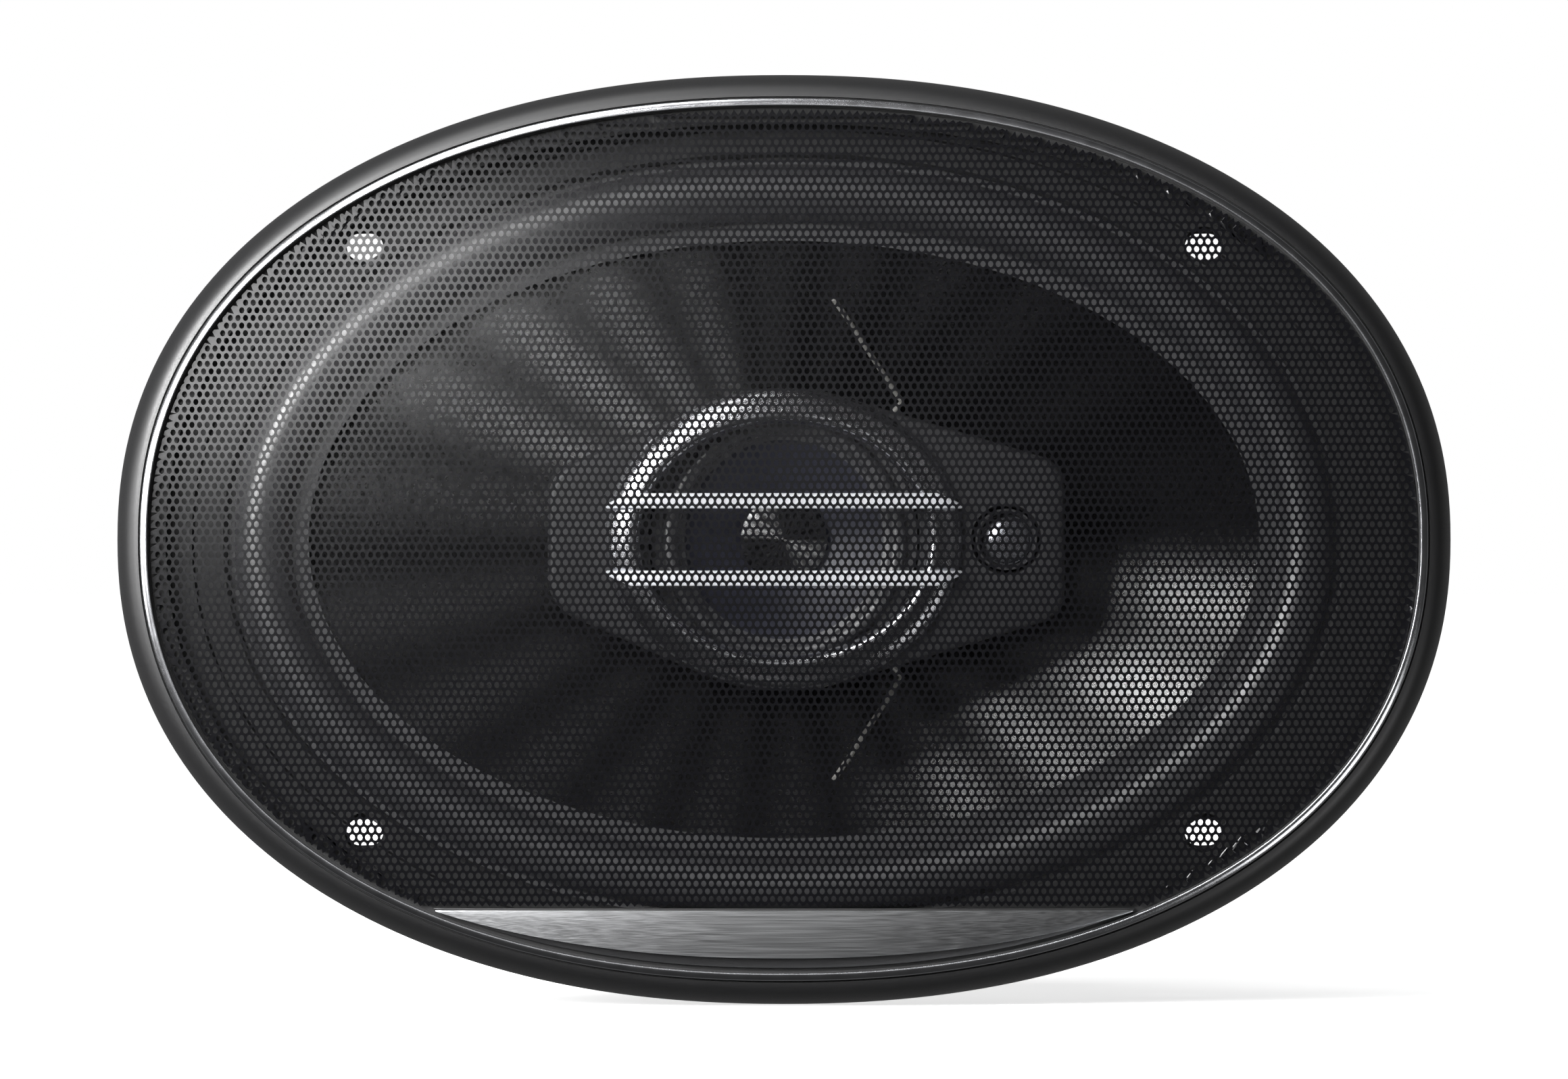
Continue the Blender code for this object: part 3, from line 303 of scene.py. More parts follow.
def carve(piece, tool, operation="DIFFERENCE"):
    work(piece, "BOOLEAN", object=tool, operation=operation)
    bpy.data.objects.remove(tool, do_unlink=True)
    return piece


def dress(piece, body, finish, nodes=(), crease=32):
    """Shade a piece, give it its finish, hide the frame's nodes it stands in for and, if it has
    one, tie it to its body.
    """
    pick(piece)
    bpy.ops.object.shade_smooth_by_angle(angle=radians(crease))
    piece.data.materials.clear()
    piece.data.materials.append(finish)
    if isinstance(body, str):
        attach(piece, body)
    if nodes:
        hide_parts(*nodes)
    return piece


def wire(name, points, radius):
    """A lead along a smooth line through given points, as a curve with a round section."""
    curve = bpy.data.curves.new(name, "CURVE")
    curve.dimensions = "3D"
    curve.bevel_depth = radius * MM
    curve.bevel_resolution = 3
    curve.use_fill_caps = True
    path = smooth_path([Vector(point) for point in points])
    spline = curve.splines.new("POLY")
    spline.points.add(len(path) - 1)
    for place, point in zip(spline.points, path):
        place.co = (*(point * MM), 1.0)
    piece = bpy.data.objects.new(name, curve)
    bpy.context.scene.collection.objects.link(piece)
    pick(piece)
    bpy.ops.object.convert(target="MESH")
    return bpy.context.object


def smooth_path(points, steps=8):
    """Points along a Catmull-Rom curve through the given ones."""
    ends = [points[0] * 2 - points[1], *points, points[-1] * 2 - points[-2]]
    path = []
    for a, b, c, d in zip(ends, ends[1:], ends[2:], ends[3:]):
        for k in range(steps):
            t = k / steps
            path.append(0.5 * (2 * b + (c - a) * t + (2 * a - 5 * b + 4 * c - d) * t * t
                               + (3 * b - a - 3 * c + d) * t ** 3))
    return [*path, points[-1]]


# ---------------------------------------------------------------- finishes
def fill(tree, node, inputs):
    """Give each of these inputs of a node its link or its value."""
    for socket, source in inputs.items():
        if isinstance(source, bpy.types.NodeSocket):
            tree.links.new(source, node.inputs[socket])
        else:
            node.inputs[socket].default_value = source


def add_node(tree, kind, inputs=None, output=0, **settings):
    """Add a node with its settings and inputs, and return one of its outputs."""
    node = tree.nodes.new(kind)
    for setting, value in settings.items():
        setattr(node, setting, value)
    fill(tree, node, inputs or {})
    return node.outputs[output]


def new_finish(name):
    """A material with its tree, its Principled shader and its Object coordinates."""
    material = bpy.data.materials.new(name)
    material.use_nodes = True
    tree = material.node_tree
    place = add_node(tree, "ShaderNodeTexCoord", output="Object")
    return material, tree, tree.nodes["Principled BSDF"], place


def noise(tree, place, size, detail=2.0, roughness=0.5):
    """Noise with features of this size in millimetres."""
    return add_node(tree, "ShaderNodeTexNoise", {
        "Vector": place, "Scale": 1 / (size * MM), "Detail": detail, "Roughness": roughness}, "Fac")


def bands(tree, place, spacing, direction="X", distortion=0.0):
    """Bands this far apart in millimetres: the texture has 20 radians to its unit."""
    return add_node(tree, "ShaderNodeTexWave", {
        "Vector": place, "Scale": tau / 20 / (spacing * MM), "Distortion": distortion}, "Fac",
        bands_direction=direction)


def draw_out(tree, value, low, high, first=0.3, last=0.7):
    """A value between first and last, drawn out to lie between low and high."""
    return add_node(tree, "ShaderNodeMapRange", {
        "Value": value, "From Min": first, "From Max": last, "To Min": low, "To Max": high})


def compute(tree, operation, *values):
    return add_node(tree, "ShaderNodeMath", dict(enumerate(values)), operation=operation)


def tinted(tree, share, dark, light):
    """A colour from dark to light by a share between 0 and 1."""
    return add_node(tree, "ShaderNodeMix", {"Factor": share, 6: (*dark, 1), 7: (*light, 1)}, 2,
                    data_type="RGBA")


def relief(tree, height, depth, strength=1.0):
    """A bump of this depth in millimetres."""
    return add_node(tree, "ShaderNodeBump", {
        "Height": height, "Strength": strength, "Distance": depth * MM})


# Colour (a property's name or an sRGB value), roughness, size and depth of the grain in mm, and
# what else differs from the defaults of grained()
GRAINED = {
    # spark-eroded mould: a fine even grain and a soft broad shine
    "satin_moulded_abs": ("moulding", 0.46, 0.22, 0.008, {"specular": 0.6}),
    # coarser, so it greys evenly under the grille
    "matt_moulded_abs": ("#2c2c2e", 0.48, 0.35, 0.03, {"tone": 0.08}),
    # a thin haze on the plating widens each highlight
    "bright_plating": ("bright", 0.22, 3.5, 0.001, {"spread": 0.02, "metallic": 1.0, "tone": 0.03}),
    # bright from every side, with a soft shine
    "silver_paint": ("bright", 0.36, 0.3, 0.004, {"metallic": 0.15, "tone": 0.03}),
    # one even colour, its shine broken up by a slight orange peel
    "black_coated_sheet": ("sheet", 0.22, 0.6, 0.006, {"spread": 0.03, "tone": 0, "specular": 0.3}),
    # thin, even and half glossy
    "black_electrocoat": ("#1f2022", 0.34, 0.9, 0.01, {"patch": 30.0}),
    # a dull bloom over a broad shine
    "surround_rubber": ("surround", 0.40, 0.5, 0.01, {
        "patch": 12.0, "specular": 1.0, "coat": 0.6, "coat_roughness": 0.32}),
    # pressed cork and rubber: coarse and dull
    "gasket_board": ("#1b1b1c", 0.62, 0.8, 0.05, {"spread": 0.08}),
    # bluish, with the fibres' faint cloud
    "coated_paper": ("midrange", 0.45, 0.4, 0.02, {"patch": 5.0, "tone": 0.2}),
    # thin metallised polymer
    "tweeter_film": ("#97989e", 0.22, 0.8, 0.003, {"spread": 0.03, "metallic": 0.85}),
    # dull, with the press's mottle
    "sintered_ferrite": ("#37373a", 0.62, 0.5, 0.03, {"patch": 9.0, "tone": 0.22}),
    # a soft grey shine with cloudy patches
    "zinc_plated_steel": ("#b9bab6", 0.34, 0.5, 0.01, {
        "spread": 0.1, "metallic": 1.0, "patch": 14.0, "tone": 0.10}),
    # brown, half matt, with the paper's cloud
    "phenolic_board": ("#7a4a26", 0.45, 0.6, 0.01, {"patch": 4.0, "tone": 0.15}),
    "tinned_brass": ("#cdc9bd", 0.26, 0.8, 0.008, {"metallic": 1.0, "patch": 5.0, "tone": 0.05}),
    # tinned braid under a thin cement: grey and half matt
    "cemented_lead": ("#8a8986", 0.45, 0.5, 0.05, {"patch": 3.0}),
    # heat-shrunk film of the capacitor
    "shrink_sleeve": ("#16244a", 0.28, 1.8, 0.01, {"patch": 6.0}),
    # resin-bound paper
    "former_paper": ("#b07b3e", 0.55, 0.4, 0.02, {"patch": 4.0}),
}


def surface(name):
    """One of the finishes in the table above."""
    colour, roughness, grain, bump, more = GRAINED[name]
    colour = srgb(colour) if colour.startswith("#") else getattr(colours(), colour)
    return grained(name, colour, roughness, grain, bump, **more)


def grained(name, colour, roughness, grain, bump, spread=0.06, metallic=0.0, patch=18.0, tone=0.12,
            coat=0.0, coat_roughness=0.1, specular=0.5):
    """A finish with a fine grain in its bump and, unless tone is 0, slow changes in its colour."""
    material, tree, shader, place = new_finish(name)
    fine = noise(tree, place, grain)
    base = (*colour, 1)
    if tone:
        base = tinted(tree, noise(tree, place, patch, 3.0), [c * (1 - tone) for c in colour],
                      [min(1.0, c * (1 + tone)) for c in colour])
    fill(tree, shader, {
        "Base Color": base, "Metallic": metallic, "Specular IOR Level": specular,
        "Roughness": draw_out(tree, fine, roughness - spread, roughness + spread),
        "Normal": relief(tree, fine, bump), "Coat Weight": coat, "Coat Roughness": coat_roughness})
    return material


CONE_RAYS = 22                    # faint bright rays round the cone
FIRST_RAY = radians(157.5)


def cone_film():
    """Glossy black cone, moulded with fine rings that draw each light out into a radial streak."""
    material, tree, shader, place = new_finish("glossy_cone")
    outwards = add_node(tree, "ShaderNodeVectorMath", {0: place, 1: (1.0, 0.0, 1.0)},
                        operation="MULTIPLY")
    facing = add_node(tree, "ShaderNodeTexCoord", output="Normal")
    flatter = add_node(tree, "ShaderNodeVectorMath", {0: facing, 1: (0.3, 1.0, 0.3)},
                       operation="MULTIPLY")
    facet = add_node(tree, "ShaderNodeVectorMath", {0: flatter}, operation="NORMALIZE")
    across = add_node(tree, "ShaderNodeSeparateXYZ", {0: place}).node.outputs
    angle = compute(tree, "ARCTAN2", across["Z"], across["X"])
    turned = compute(tree, "SUBTRACT", angle, FIRST_RAY)
    wave = compute(tree, "COSINE", compute(tree, "MULTIPLY", turned, CONE_RAYS))
    fill(tree, shader, {
        "Base Color": (*colours().cone, 1), "Tangent": outwards, "Normal": facet,
        "Roughness": draw_out(tree, noise(tree, place, 1.4), 0.25, 0.30), "Anisotropic": 1.0,
        "IOR": 2.1, "Specular IOR Level": draw_out(tree, wave, 0.34, 1.0, -1.0, 1.0)})
    return material


def banded(parts, height, depth, dark, light, roughness, metallic=1.0):
    """Complete a material whose colour and bump follow one texture."""
    material, tree, shader, _ = parts
    fill(tree, shader, {
        "Base Color": tinted(tree, height, srgb(dark), srgb(light)), "Metallic": metallic,
        "Normal": relief(tree, height, depth), "Roughness": roughness})
    return material


def wound_copper():
    """Enamelled copper: turns 2.2 mm apart along the axis, in the colour of the enamel."""
    parts = new_finish("wound_copper")
    turns = bands(parts[1], parts[3], 2.199, "Y")
    return banded(parts, turns, 0.08, "#7c3a1c", "#d0763f", 0.3)


def braided_copper():
    """Tinsel lead: strands laid at a slant, 3.14 mm apart."""
    parts = new_finish("braided_copper")
    slant = add_node(parts[1], "ShaderNodeMapping", {
        "Vector": parts[3], "Rotation": (0.0, 0.0, radians(40))})
    return banded(parts, bands(parts[1], slant, 3.1416, distortion=1.5), 0.1,
                  "#6b3418", "#c9804e", 0.36)


def spider_cloth():
    """Resin-dipped cotton: a coarse weave, 4.4 mm from band to band, stiff and a little shiny."""
    parts = new_finish("dipped_cotton")
    warp, weft = [bands(parts[1], parts[3], 4.398, direction, 0.4) for direction in "XZ"]
    weave = compute(parts[1], "MULTIPLY", warp, weft)
    return banded(parts, weave, 0.15, "#7d6026", "#c9a860", 0.7, metallic=0.0)


def brushed_aluminium():
    """Aluminium brushed along X: scratches 0.12 mm apart and about 25 mm long."""
    material, tree, shader, place = new_finish("brushed_aluminium")
    stretch = add_node(tree, "ShaderNodeMapping", {"Vector": place, "Scale": (0.005, 1.0, 1.0)})
    scratch = noise(tree, stretch, 0.12, 3.0, 0.6)
    light = colours().badge
    dark = [c * 0.72 for c in light]
    fill(tree, shader, {
        "Base Color": tinted(tree, draw_out(tree, scratch, 0.0, 1.0), dark, light),
        "Roughness": draw_out(tree, scratch, 0.34, 0.50), "Metallic": 1.0, "Anisotropic": 0.8,
        "Normal": relief(tree, scratch, 0.01, 0.6),
        "Tangent": add_node(tree, "ShaderNodeCombineXYZ", {"Z": 1.0})})
    return material


# ---------------------------------------------------------------- grille
RING_SHOULDER = (4.6, 7.9)        # half axes of the ring's rounded outer shoulder
SHOULDER_Y = -2.2
INLAY_SEAT_Y = -9.1
CHIN_CHORD_Z = -66.1
BADGE_CHORD_Z = -66.5


def ring_profile():
    """(inset, y) round the trim ring's section."""
    wide, deep = RING_SHOULDER
    profile = [(0.0, -0.3)]
    for step in range(15):
        angle = radians(6 * step)
        profile.append((wide * (1 - cos(angle)), SHOULDER_Y - deep * sin(angle)))
    return profile + [
        (4.14, -9.6), (4.16, INLAY_SEAT_Y), (6.05, INLAY_SEAT_Y), (6.05, -8.2), (9.0, -8.2),
        (9.0, -6.7), (4.6, -6.7), (3.2, -5.0), (2.6, SHOULDER_Y), (2.6, -0.3)]


def chord_angle(chord_z, inset):
    """The rim's angle, in the lower left quarter, where it passes the chord at this inset."""
    low, high = pi, 1.5 * pi
    for _ in range(40):
        middle = (low + high) / 2
        if rim_point(inset, middle)[1] > chord_z:
            low = middle
        else:
            high = middle
    return high


def foot_sections(chord_z, middle_inset, end_inset, lift, thickness, steps=72):
    """Sections across the foot of the dome, between a level chord and the rim."""
    first = chord_angle(chord_z - 0.2, end_inset)
    sections = []
    for k in range(steps + 1):
        angle = first + (3 * pi - 2 * first) * k / steps
        inset = middle_inset + (end_inset - middle_inset) * (2 * k / steps - 1) ** 2
        x, z = rim_point(inset, angle)
        front = [(x, dome_y(x, z_at) - lift, z_at) for z_at in (chord_z, (chord_z + z) / 2, z)]
        back = [(x_at, y + thickness, z_at) for x_at, y, z_at in reversed(front)]
        sections.append(front + back)
    return sections


class SPEAKER_OT_trim_ring(bpy.types.Operator):
    """Model the grille's moulded ring, the seat of the badge and the snap pegs"""
    bl_idname = "speaker.trim_ring"
    bl_label = "Trim Ring"

    def execute(self, context):
        finish = surface("satin_moulded_abs")
        ring = sweep("trim_ring", [rim_loop(inset, y) for inset, y in ring_profile()], closed=True)
        dress(ring, "grille", finish, ["grille_trim_ring"], 40)
        inset = MESH_INSET + 0.4
        seat = sweep("badge_seat", foot_sections(CHIN_CHORD_Z, inset, inset, 0.0, 2.4), caps=True)
        dress(soften(seat, 0.15), "grille", finish, ["grille_trim_ring"])
        profile = ((0, -6.8), (1.2, -6.8), (1.2, -1.4), (1.05, -0.8), (0.8, -0.1), (0, -0.1))
        for number, angle in enumerate(PEG_ANGLES, 1):
            centre = rim_point(PEG_INSET, radians(angle))
            peg = turn(f"snap_peg_{number}", profile, centre, False, 24)
            dress(peg, "grille", finish, ["grille_trim_ring"])
        return {"FINISHED"}


class SPEAKER_OT_inlay_ring(bpy.types.Operator):
    """Model the bright line let into the trim ring"""
    bl_idname = "speaker.inlay_ring"
    bl_label = "Inlay Ring"

    def execute(self, context):
        back = INLAY_SEAT_Y - SEAT
        profile = ((4.4, back), (4.4, -10.0), (4.46, -10.15), (4.7, -10.36), (5.0, -10.56),
                   (5.35, -10.7), (5.6, -10.75), (5.76, -10.7), (5.8, -10.55), (5.8, back))
        inlay = sweep("inlay_ring", [rim_loop(inset, y) for inset, y in profile], closed=True)
        dress(inlay, "grille", surface("bright_plating"), ["grille_inlay_ring"], 50)
        return {"FINISHED"}


class SPEAKER_OT_grille_sheet(bpy.types.Operator):
    """Punch the domed sheet: one hole and its frame, repeated in staggered rows"""
    bl_idname = "speaker.grille_sheet"
    bl_label = "Grille Sheet"

    def execute(self, context):
        pitch = sizes().hole_pitch / MM
        wide, high = sizes().hole_width / MM, sizes().hole_height / MM
        columns = int(2 * HALF_WIDTH / pitch) + 2
        row_pairs = int(HALF_HEIGHT / pitch) + 2
        left, foot = -columns // 2 * pitch, -row_pairs // 2 * 2 * pitch
        eighths = [tau * k / 8 for k in range(8)]
        hole = [(left + wide / 2 * cos(a), 0, foot + high / 2 * sin(a)) for a in eighths]
        rim = [(left + pitch / 2 * round(cos(a)), 0, foot + pitch / 2 * round(sin(a)))
               for a in eighths]
        sheet = sweep("grille_sheet_1", [hole, rim])
        for count, step in ((2, (pitch / 2, 0, pitch)), (columns, (pitch, 0, 0)),
                            (row_pairs, (0, 0, 2 * pitch))):
            work(sheet, "ARRAY", count=count, use_relative_offset=False, use_constant_offset=True,
                 constant_offset_displace=[d * MM for d in step])
        self.trim(sheet, pitch)
        self.press(sheet, pitch, wide, high)
        finish = surface("black_coated_sheet")
        for part in self.quarters(sheet):
            thicken(part, sizes().sheet_thickness / MM)
            dress(part, "grille", finish, ["grille_mesh"], 40)
        return {"FINISHED"}

    def edge_line(self):
        """Points along the sheet's edge: the outline, cut off straight above the badge."""
        chord = CHIN_CHORD_Z + SEAT
        curve = np.array([rim_point(MESH_INSET, tau * k / 3000) for k in range(3000)])
        curve = curve[curve[:, 1] > chord]
        reach = max(abs(x) for x, z in curve if z < chord + 0.5)
        level = np.linspace(-reach, reach, 800)
        return np.vstack([curve, np.column_stack([level, np.full(800, chord)])])

    def trim(self, sheet, pitch):
        """Delete every hole that would reach the sheet's edge."""
        spots = np.zeros(len(sheet.data.vertices) * 3)
        sheet.data.vertices.foreach_get("co", spots)
        centres = spots.reshape(-1, 16, 3)[:, :, (0, 2)].mean(axis=1) / MM
        inside = (np.abs(centres[:, 0] / (HALF_WIDTH - MESH_INSET)) ** OUTLINE_POWER
                  + np.abs(centres[:, 1] / (HALF_HEIGHT - MESH_INSET)) ** OUTLINE_POWER) < 1.0
        edge = self.edge_line()
        near = np.array([((edge - centre) ** 2).sum(axis=1).min() for centre in centres]) ** 0.5
        keep = inside & (near > 0.62 * pitch) & (centres[:, 1] > CHIN_CHORD_Z)
        select_faces(sheet, np.repeat(~keep, 8))
        bpy.ops.mesh.delete(type="FACE")
        bpy.ops.mesh.select_all(action="SELECT")
        bpy.ops.mesh.remove_doubles(threshold=0.05 * MM)
        bpy.ops.object.mode_set(mode="OBJECT")

    def press(self, sheet, pitch, wide, high):
        """Draw the ragged border out to the sheet's edge and press the sheet into its dome."""
        data = sheet.data
        spots = np.zeros(len(data.vertices) * 3)
        data.vertices.foreach_get("co", spots)
        spots = spots.reshape(-1, 3) / MM
        edges = np.zeros(len(data.loops), int)
        data.loops.foreach_get("edge_index", edges)
        ends = np.zeros(len(data.edges) * 2, int)
        data.edges.foreach_get("vertices", ends)
        open_edges = np.bincount(edges, minlength=len(data.edges)) == 1
        border = np.unique(ends.reshape(-1, 2)[open_edges])
        row = np.round(spots[border, 2] / pitch)
        shift = np.where(row % 2 == 0, 0.0, 0.5) * pitch
        across = (spots[border, 0] - shift + pitch / 2) % pitch - pitch / 2
        along = spots[border, 2] - row * pitch
        border = border[(across / wide) ** 2 + (along / high) ** 2 > 0.4]
        edge = self.edge_line()
        for vert in border:
            nearest = ((edge - spots[vert, (0, 2)]) ** 2).sum(axis=1).argmin()
            spots[vert, 0], spots[vert, 2] = edge[nearest]
        spots[:, 1] = dome_y(spots[:, 0], spots[:, 2])
        data.vertices.foreach_set("co", (spots * MM).ravel())
        data.update()

    def quarters(self, sheet):
        """Cut the sheet into four pieces along its two axes."""
        parts = [sheet]
        for axis in (0, 2):
            for part in list(parts):
                select_faces(part, [face.center[axis] > 0 for face in part.data.polygons])
                bpy.ops.mesh.separate(type="SELECTED")
                bpy.ops.object.mode_set(mode="OBJECT")
                fresh = [item for item in bpy.context.selected_objects if item is not part][0]
                fresh.name = fresh.data.name = f"grille_sheet_{len(parts) + 1}"
                parts.append(fresh)
        return parts


def select_faces(piece, wanted):
    """Select just these faces of a piece, in edit mode."""
    pick(piece)
    bpy.ops.object.mode_set(mode="EDIT")
    bpy.ops.mesh.select_mode(type="FACE")
    bpy.ops.mesh.select_all(action="DESELECT")
    bpy.ops.object.mode_set(mode="OBJECT")
    piece.data.polygons.foreach_set("select", wanted)
    bpy.ops.object.mode_set(mode="EDIT")


class SPEAKER_OT_badge_plate(bpy.types.Operator):
    """Model the bare brushed plate at the foot of the grille"""
    bl_idname = "speaker.badge_plate"
    bl_label = "Badge Plate"

    def execute(self, context):
        sections = foot_sections(BADGE_CHORD_Z, 8.5, 6.5, SEAT + 0.7, 0.7)
        plate = soften(sweep("badge_plate", sections, caps=True), 0.12)
        dress(plate, "grille", brushed_aluminium(), ["grille_badge_plate"])
        return {"FINISHED"}


# ---------------------------------------------------------------- woofer
LIP_Y = -2.0
ROLL_OUTER, ROLL_INNER = (99.0, 67.6, 2.08), (88.8, 56.9, 2.04)
ROLL_HEIGHT = 5.2


class SPEAKER_OT_gasket(bpy.types.Operator):
    """Model the stepped gasket on the surround's outer lip"""
    bl_idname = "speaker.gasket"
    bl_label = "Flange Gasket"

    def execute(self, context):
        front = low_y("flange_gasket")
        outer, back = 8.3, -1.3
        loops = [rim_loop(outer, back), rim_loop(outer, front + 0.5), rim_loop(outer + 0.5, front)]
        loops += [oval_loop(*station) for station in (
            (106.5, 74.0, 2.08, front), (106.1, 73.6, 2.08, front + 0.8),
            (100.9, 69.5, 2.08, front + 0.8), (100.3, 68.9, 2.08, front + 1.3),
            (100.2, 68.8, 2.08, -2.3), (104.0, 72.2, 2.05, -2.3), (104.0, 72.2, 2.05, back))]
        gasket = sweep("gasket", loops, closed=True)
        profile = ((0, -9), (3.6, -9), (3.6, 2), (0, 2))
        for centre in SCREWS:
            carve(gasket, turn("screw_clearance", profile, centre, False, 32))
        dress(gasket, "chassis", surface("gasket_board"), ["flange_gasket"])
        return {"FINISHED"}


class SPEAKER_OT_surround(bpy.types.Operator):
    """Model the half-roll surround, which bends between basket and cone"""
    bl_idname = "speaker.surround"
    bl_label = "Woofer Surround"

    def execute(self, context):
        loops = [oval_loop(103.2, 71.4, 2.05, LIP_Y), oval_loop(99.5, 68.1, 2.08, LIP_Y)]
        for step in range(25):
            angle = pi * step / 24
            inwards = (1 - cos(angle)) / 2
            shape = [a + (b - a) * inwards for a, b in zip(ROLL_OUTER, ROLL_INNER)]
            loops.append(oval_loop(*shape, LIP_Y - ROLL_HEIGHT * sin(angle)))
        loops += [oval_loop(88.3, 56.4, 2.04, LIP_Y), oval_loop(85.6, 53.8, 2.02, LIP_Y)]
        surround = thicken(sweep("surround", loops), 0.7)
        dress(surround, None, surface("surround_rubber"), ["woofer_surround"], 60)
        follow_inwards(surround)
        return {"FINISHED"}


def follow_inwards(piece):
    """Put a roll's placement into its mesh.
    """
    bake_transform(piece)


CONE_WIDTH, CONE_HEIGHT, NECK = 85.8, 54.0, 15.1    # the straight side's half axes and its end
CONE_TOP_Y, CONE_DEPTH = -0.7, 34.2


def cone_axes(share):
    """Half axes of the cone's straight side, a share of the way down to the neck."""
    return CONE_WIDTH - (CONE_WIDTH - NECK) * share, CONE_HEIGHT - (CONE_HEIGHT - NECK) * share


def cone_y(x, z):
    """Front of the cone's straight side, between its top oval and the round neck."""
    low, high = 0.0, 1.0
    for _ in range(40):
        share = (low + high) / 2
        wide, tall = cone_axes(share)
        if (x / wide) ** 2 + (z / tall) ** 2 > 1:
            high = share
        else:
            low = share
    return CONE_TOP_Y + CONE_DEPTH * low


class SPEAKER_OT_cone(bpy.types.Operator):
    """Model the woofer's cone and the two leads cemented to it"""
    bl_idname = "speaker.cone"
    bl_label = "Woofer Cone"

    def execute(self, context):
        loops = [oval_loop(88.2, 56.4, 2.04, -1.0), oval_loop(86.4, 54.6, 2.02, -0.95)]
        for step in range(25):
            share = step / 24
            loops.append(oval_loop(*cone_axes(share), 2.02 - 0.02 * share,
                                   CONE_TOP_Y + CONE_DEPTH * share))
        loops.append(oval_loop(NECK, NECK, 2.0, 36.4))
        cone = thicken(sweep("cone", loops), 0.8)
        dress(cone, "woofer", cone_film(), ["woofer_cone"], 40)
        finish = surface("cemented_lead")
        route = ((9.0, 43.5), (12.8, 38.0), (16.8, 32.0), (20.4, 26.6), (21.4, 25.2), (20.6, 23.9),
                 (18.4, 21.6), (15.2, 17.4), (12.4, 13.4), (11.0, 12.2))
        for name, side in (("upper", 1), ("lower", -1)):
            points = [(x, cone_y(x, z) - 0.9, side * z) for x, z in route]
            lead = wire(f"lead_on_cone_{name}", points, 0.5)
            dress(lead, "woofer", finish, [f"cone_lead_{name}"], 60)
        return {"FINISHED"}


class SPEAKER_OT_voice_coil(bpy.types.Operator):
    """Model the former, its winding, the corrugated spider and the two tinsel leads"""
    bl_idname = "speaker.voice_coil"
    bl_label = "Voice Coil and Spider"

    def execute(self, context):
        former = turn("former", ((14.3, 31.5), (14.8, 31.5), (14.8, 61.0), (14.3, 61.0)))
        dress(former, "woofer", surface("former_paper"), ["voice_coil_former"])
        winding = turn("winding", ((15.1, 49.4), (15.8, 49.4), (15.8, 60.2), (15.1, 60.2)))
        dress(winding, "woofer", wound_copper(), ["voice_coil_winding"])
        rest = 39.1
        steps = sizes().spider_waves * 8
        loops = [circle_loop(48.6, rest)]
        for k in range(steps + 1):
            height = 1.3 * min(1.0, 4 * k / steps, 4 * (steps - k) / steps)
            loops.append(circle_loop(44.0 - 25.5 * k / steps, rest - height * sin(tau * k / 8)))
        loops.append(circle_loop(15.1, rest))
        spider = thicken(sweep("corrugated_spider", loops), 0.6)
        dress(spider, None, spider_cloth(), ["spider"], 60)
        follow_inwards(spider)
        route = ((99.4, 15.0, 10.6), (96.4, 15.4, 10.9), (90.0, 18.4, 11.6), (82.0, 21.2, 13.6),
                 (70.0, 22.8, 18.4), (56.0, 23.6, 25.0), (42.0, 23.8, 31.0), (28.0, 22.4, 36.6),
                 (18.0, 19.6, 39.8), (11.6, 16.4, 41.6), (9.4, 13.8, 42.2))
        finish = braided_copper()
        for name, side in (("upper", 1), ("lower", -1)):
            lead = wire(f"tinsel_lead_{name}", [(x, y, side * z) for x, y, z in route], 0.65)
            dress(lead, None, finish, [f"tinsel_{name}"], 60)
            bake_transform(lead)
        return {"FINISHED"}


# ---------------------------------------------------------------- basket and motor
BASKET_STATIONS = (
    (100.2, 69.2, 2.10, -1.0), (98.6, 67.4, 2.10, 0.6), (97.2, 66.0, 2.08, 9.0),
    (93.6, 62.4, 2.05, 11.5), (77.0, 55.5, 2.00, 27.0), (59.0, 51.5, 2.00, 38.0),
    (50.5, 50.5, 2.00, 40.0), (44.0, 44.0, 2.00, 40.0), (42.5, 42.5, 2.00, 51.0),
    (17.6, 17.6, 2.00, 51.0))
WINDOWS_FROM_Y, WINDOWS_TO_Y = 11.5, 38.0


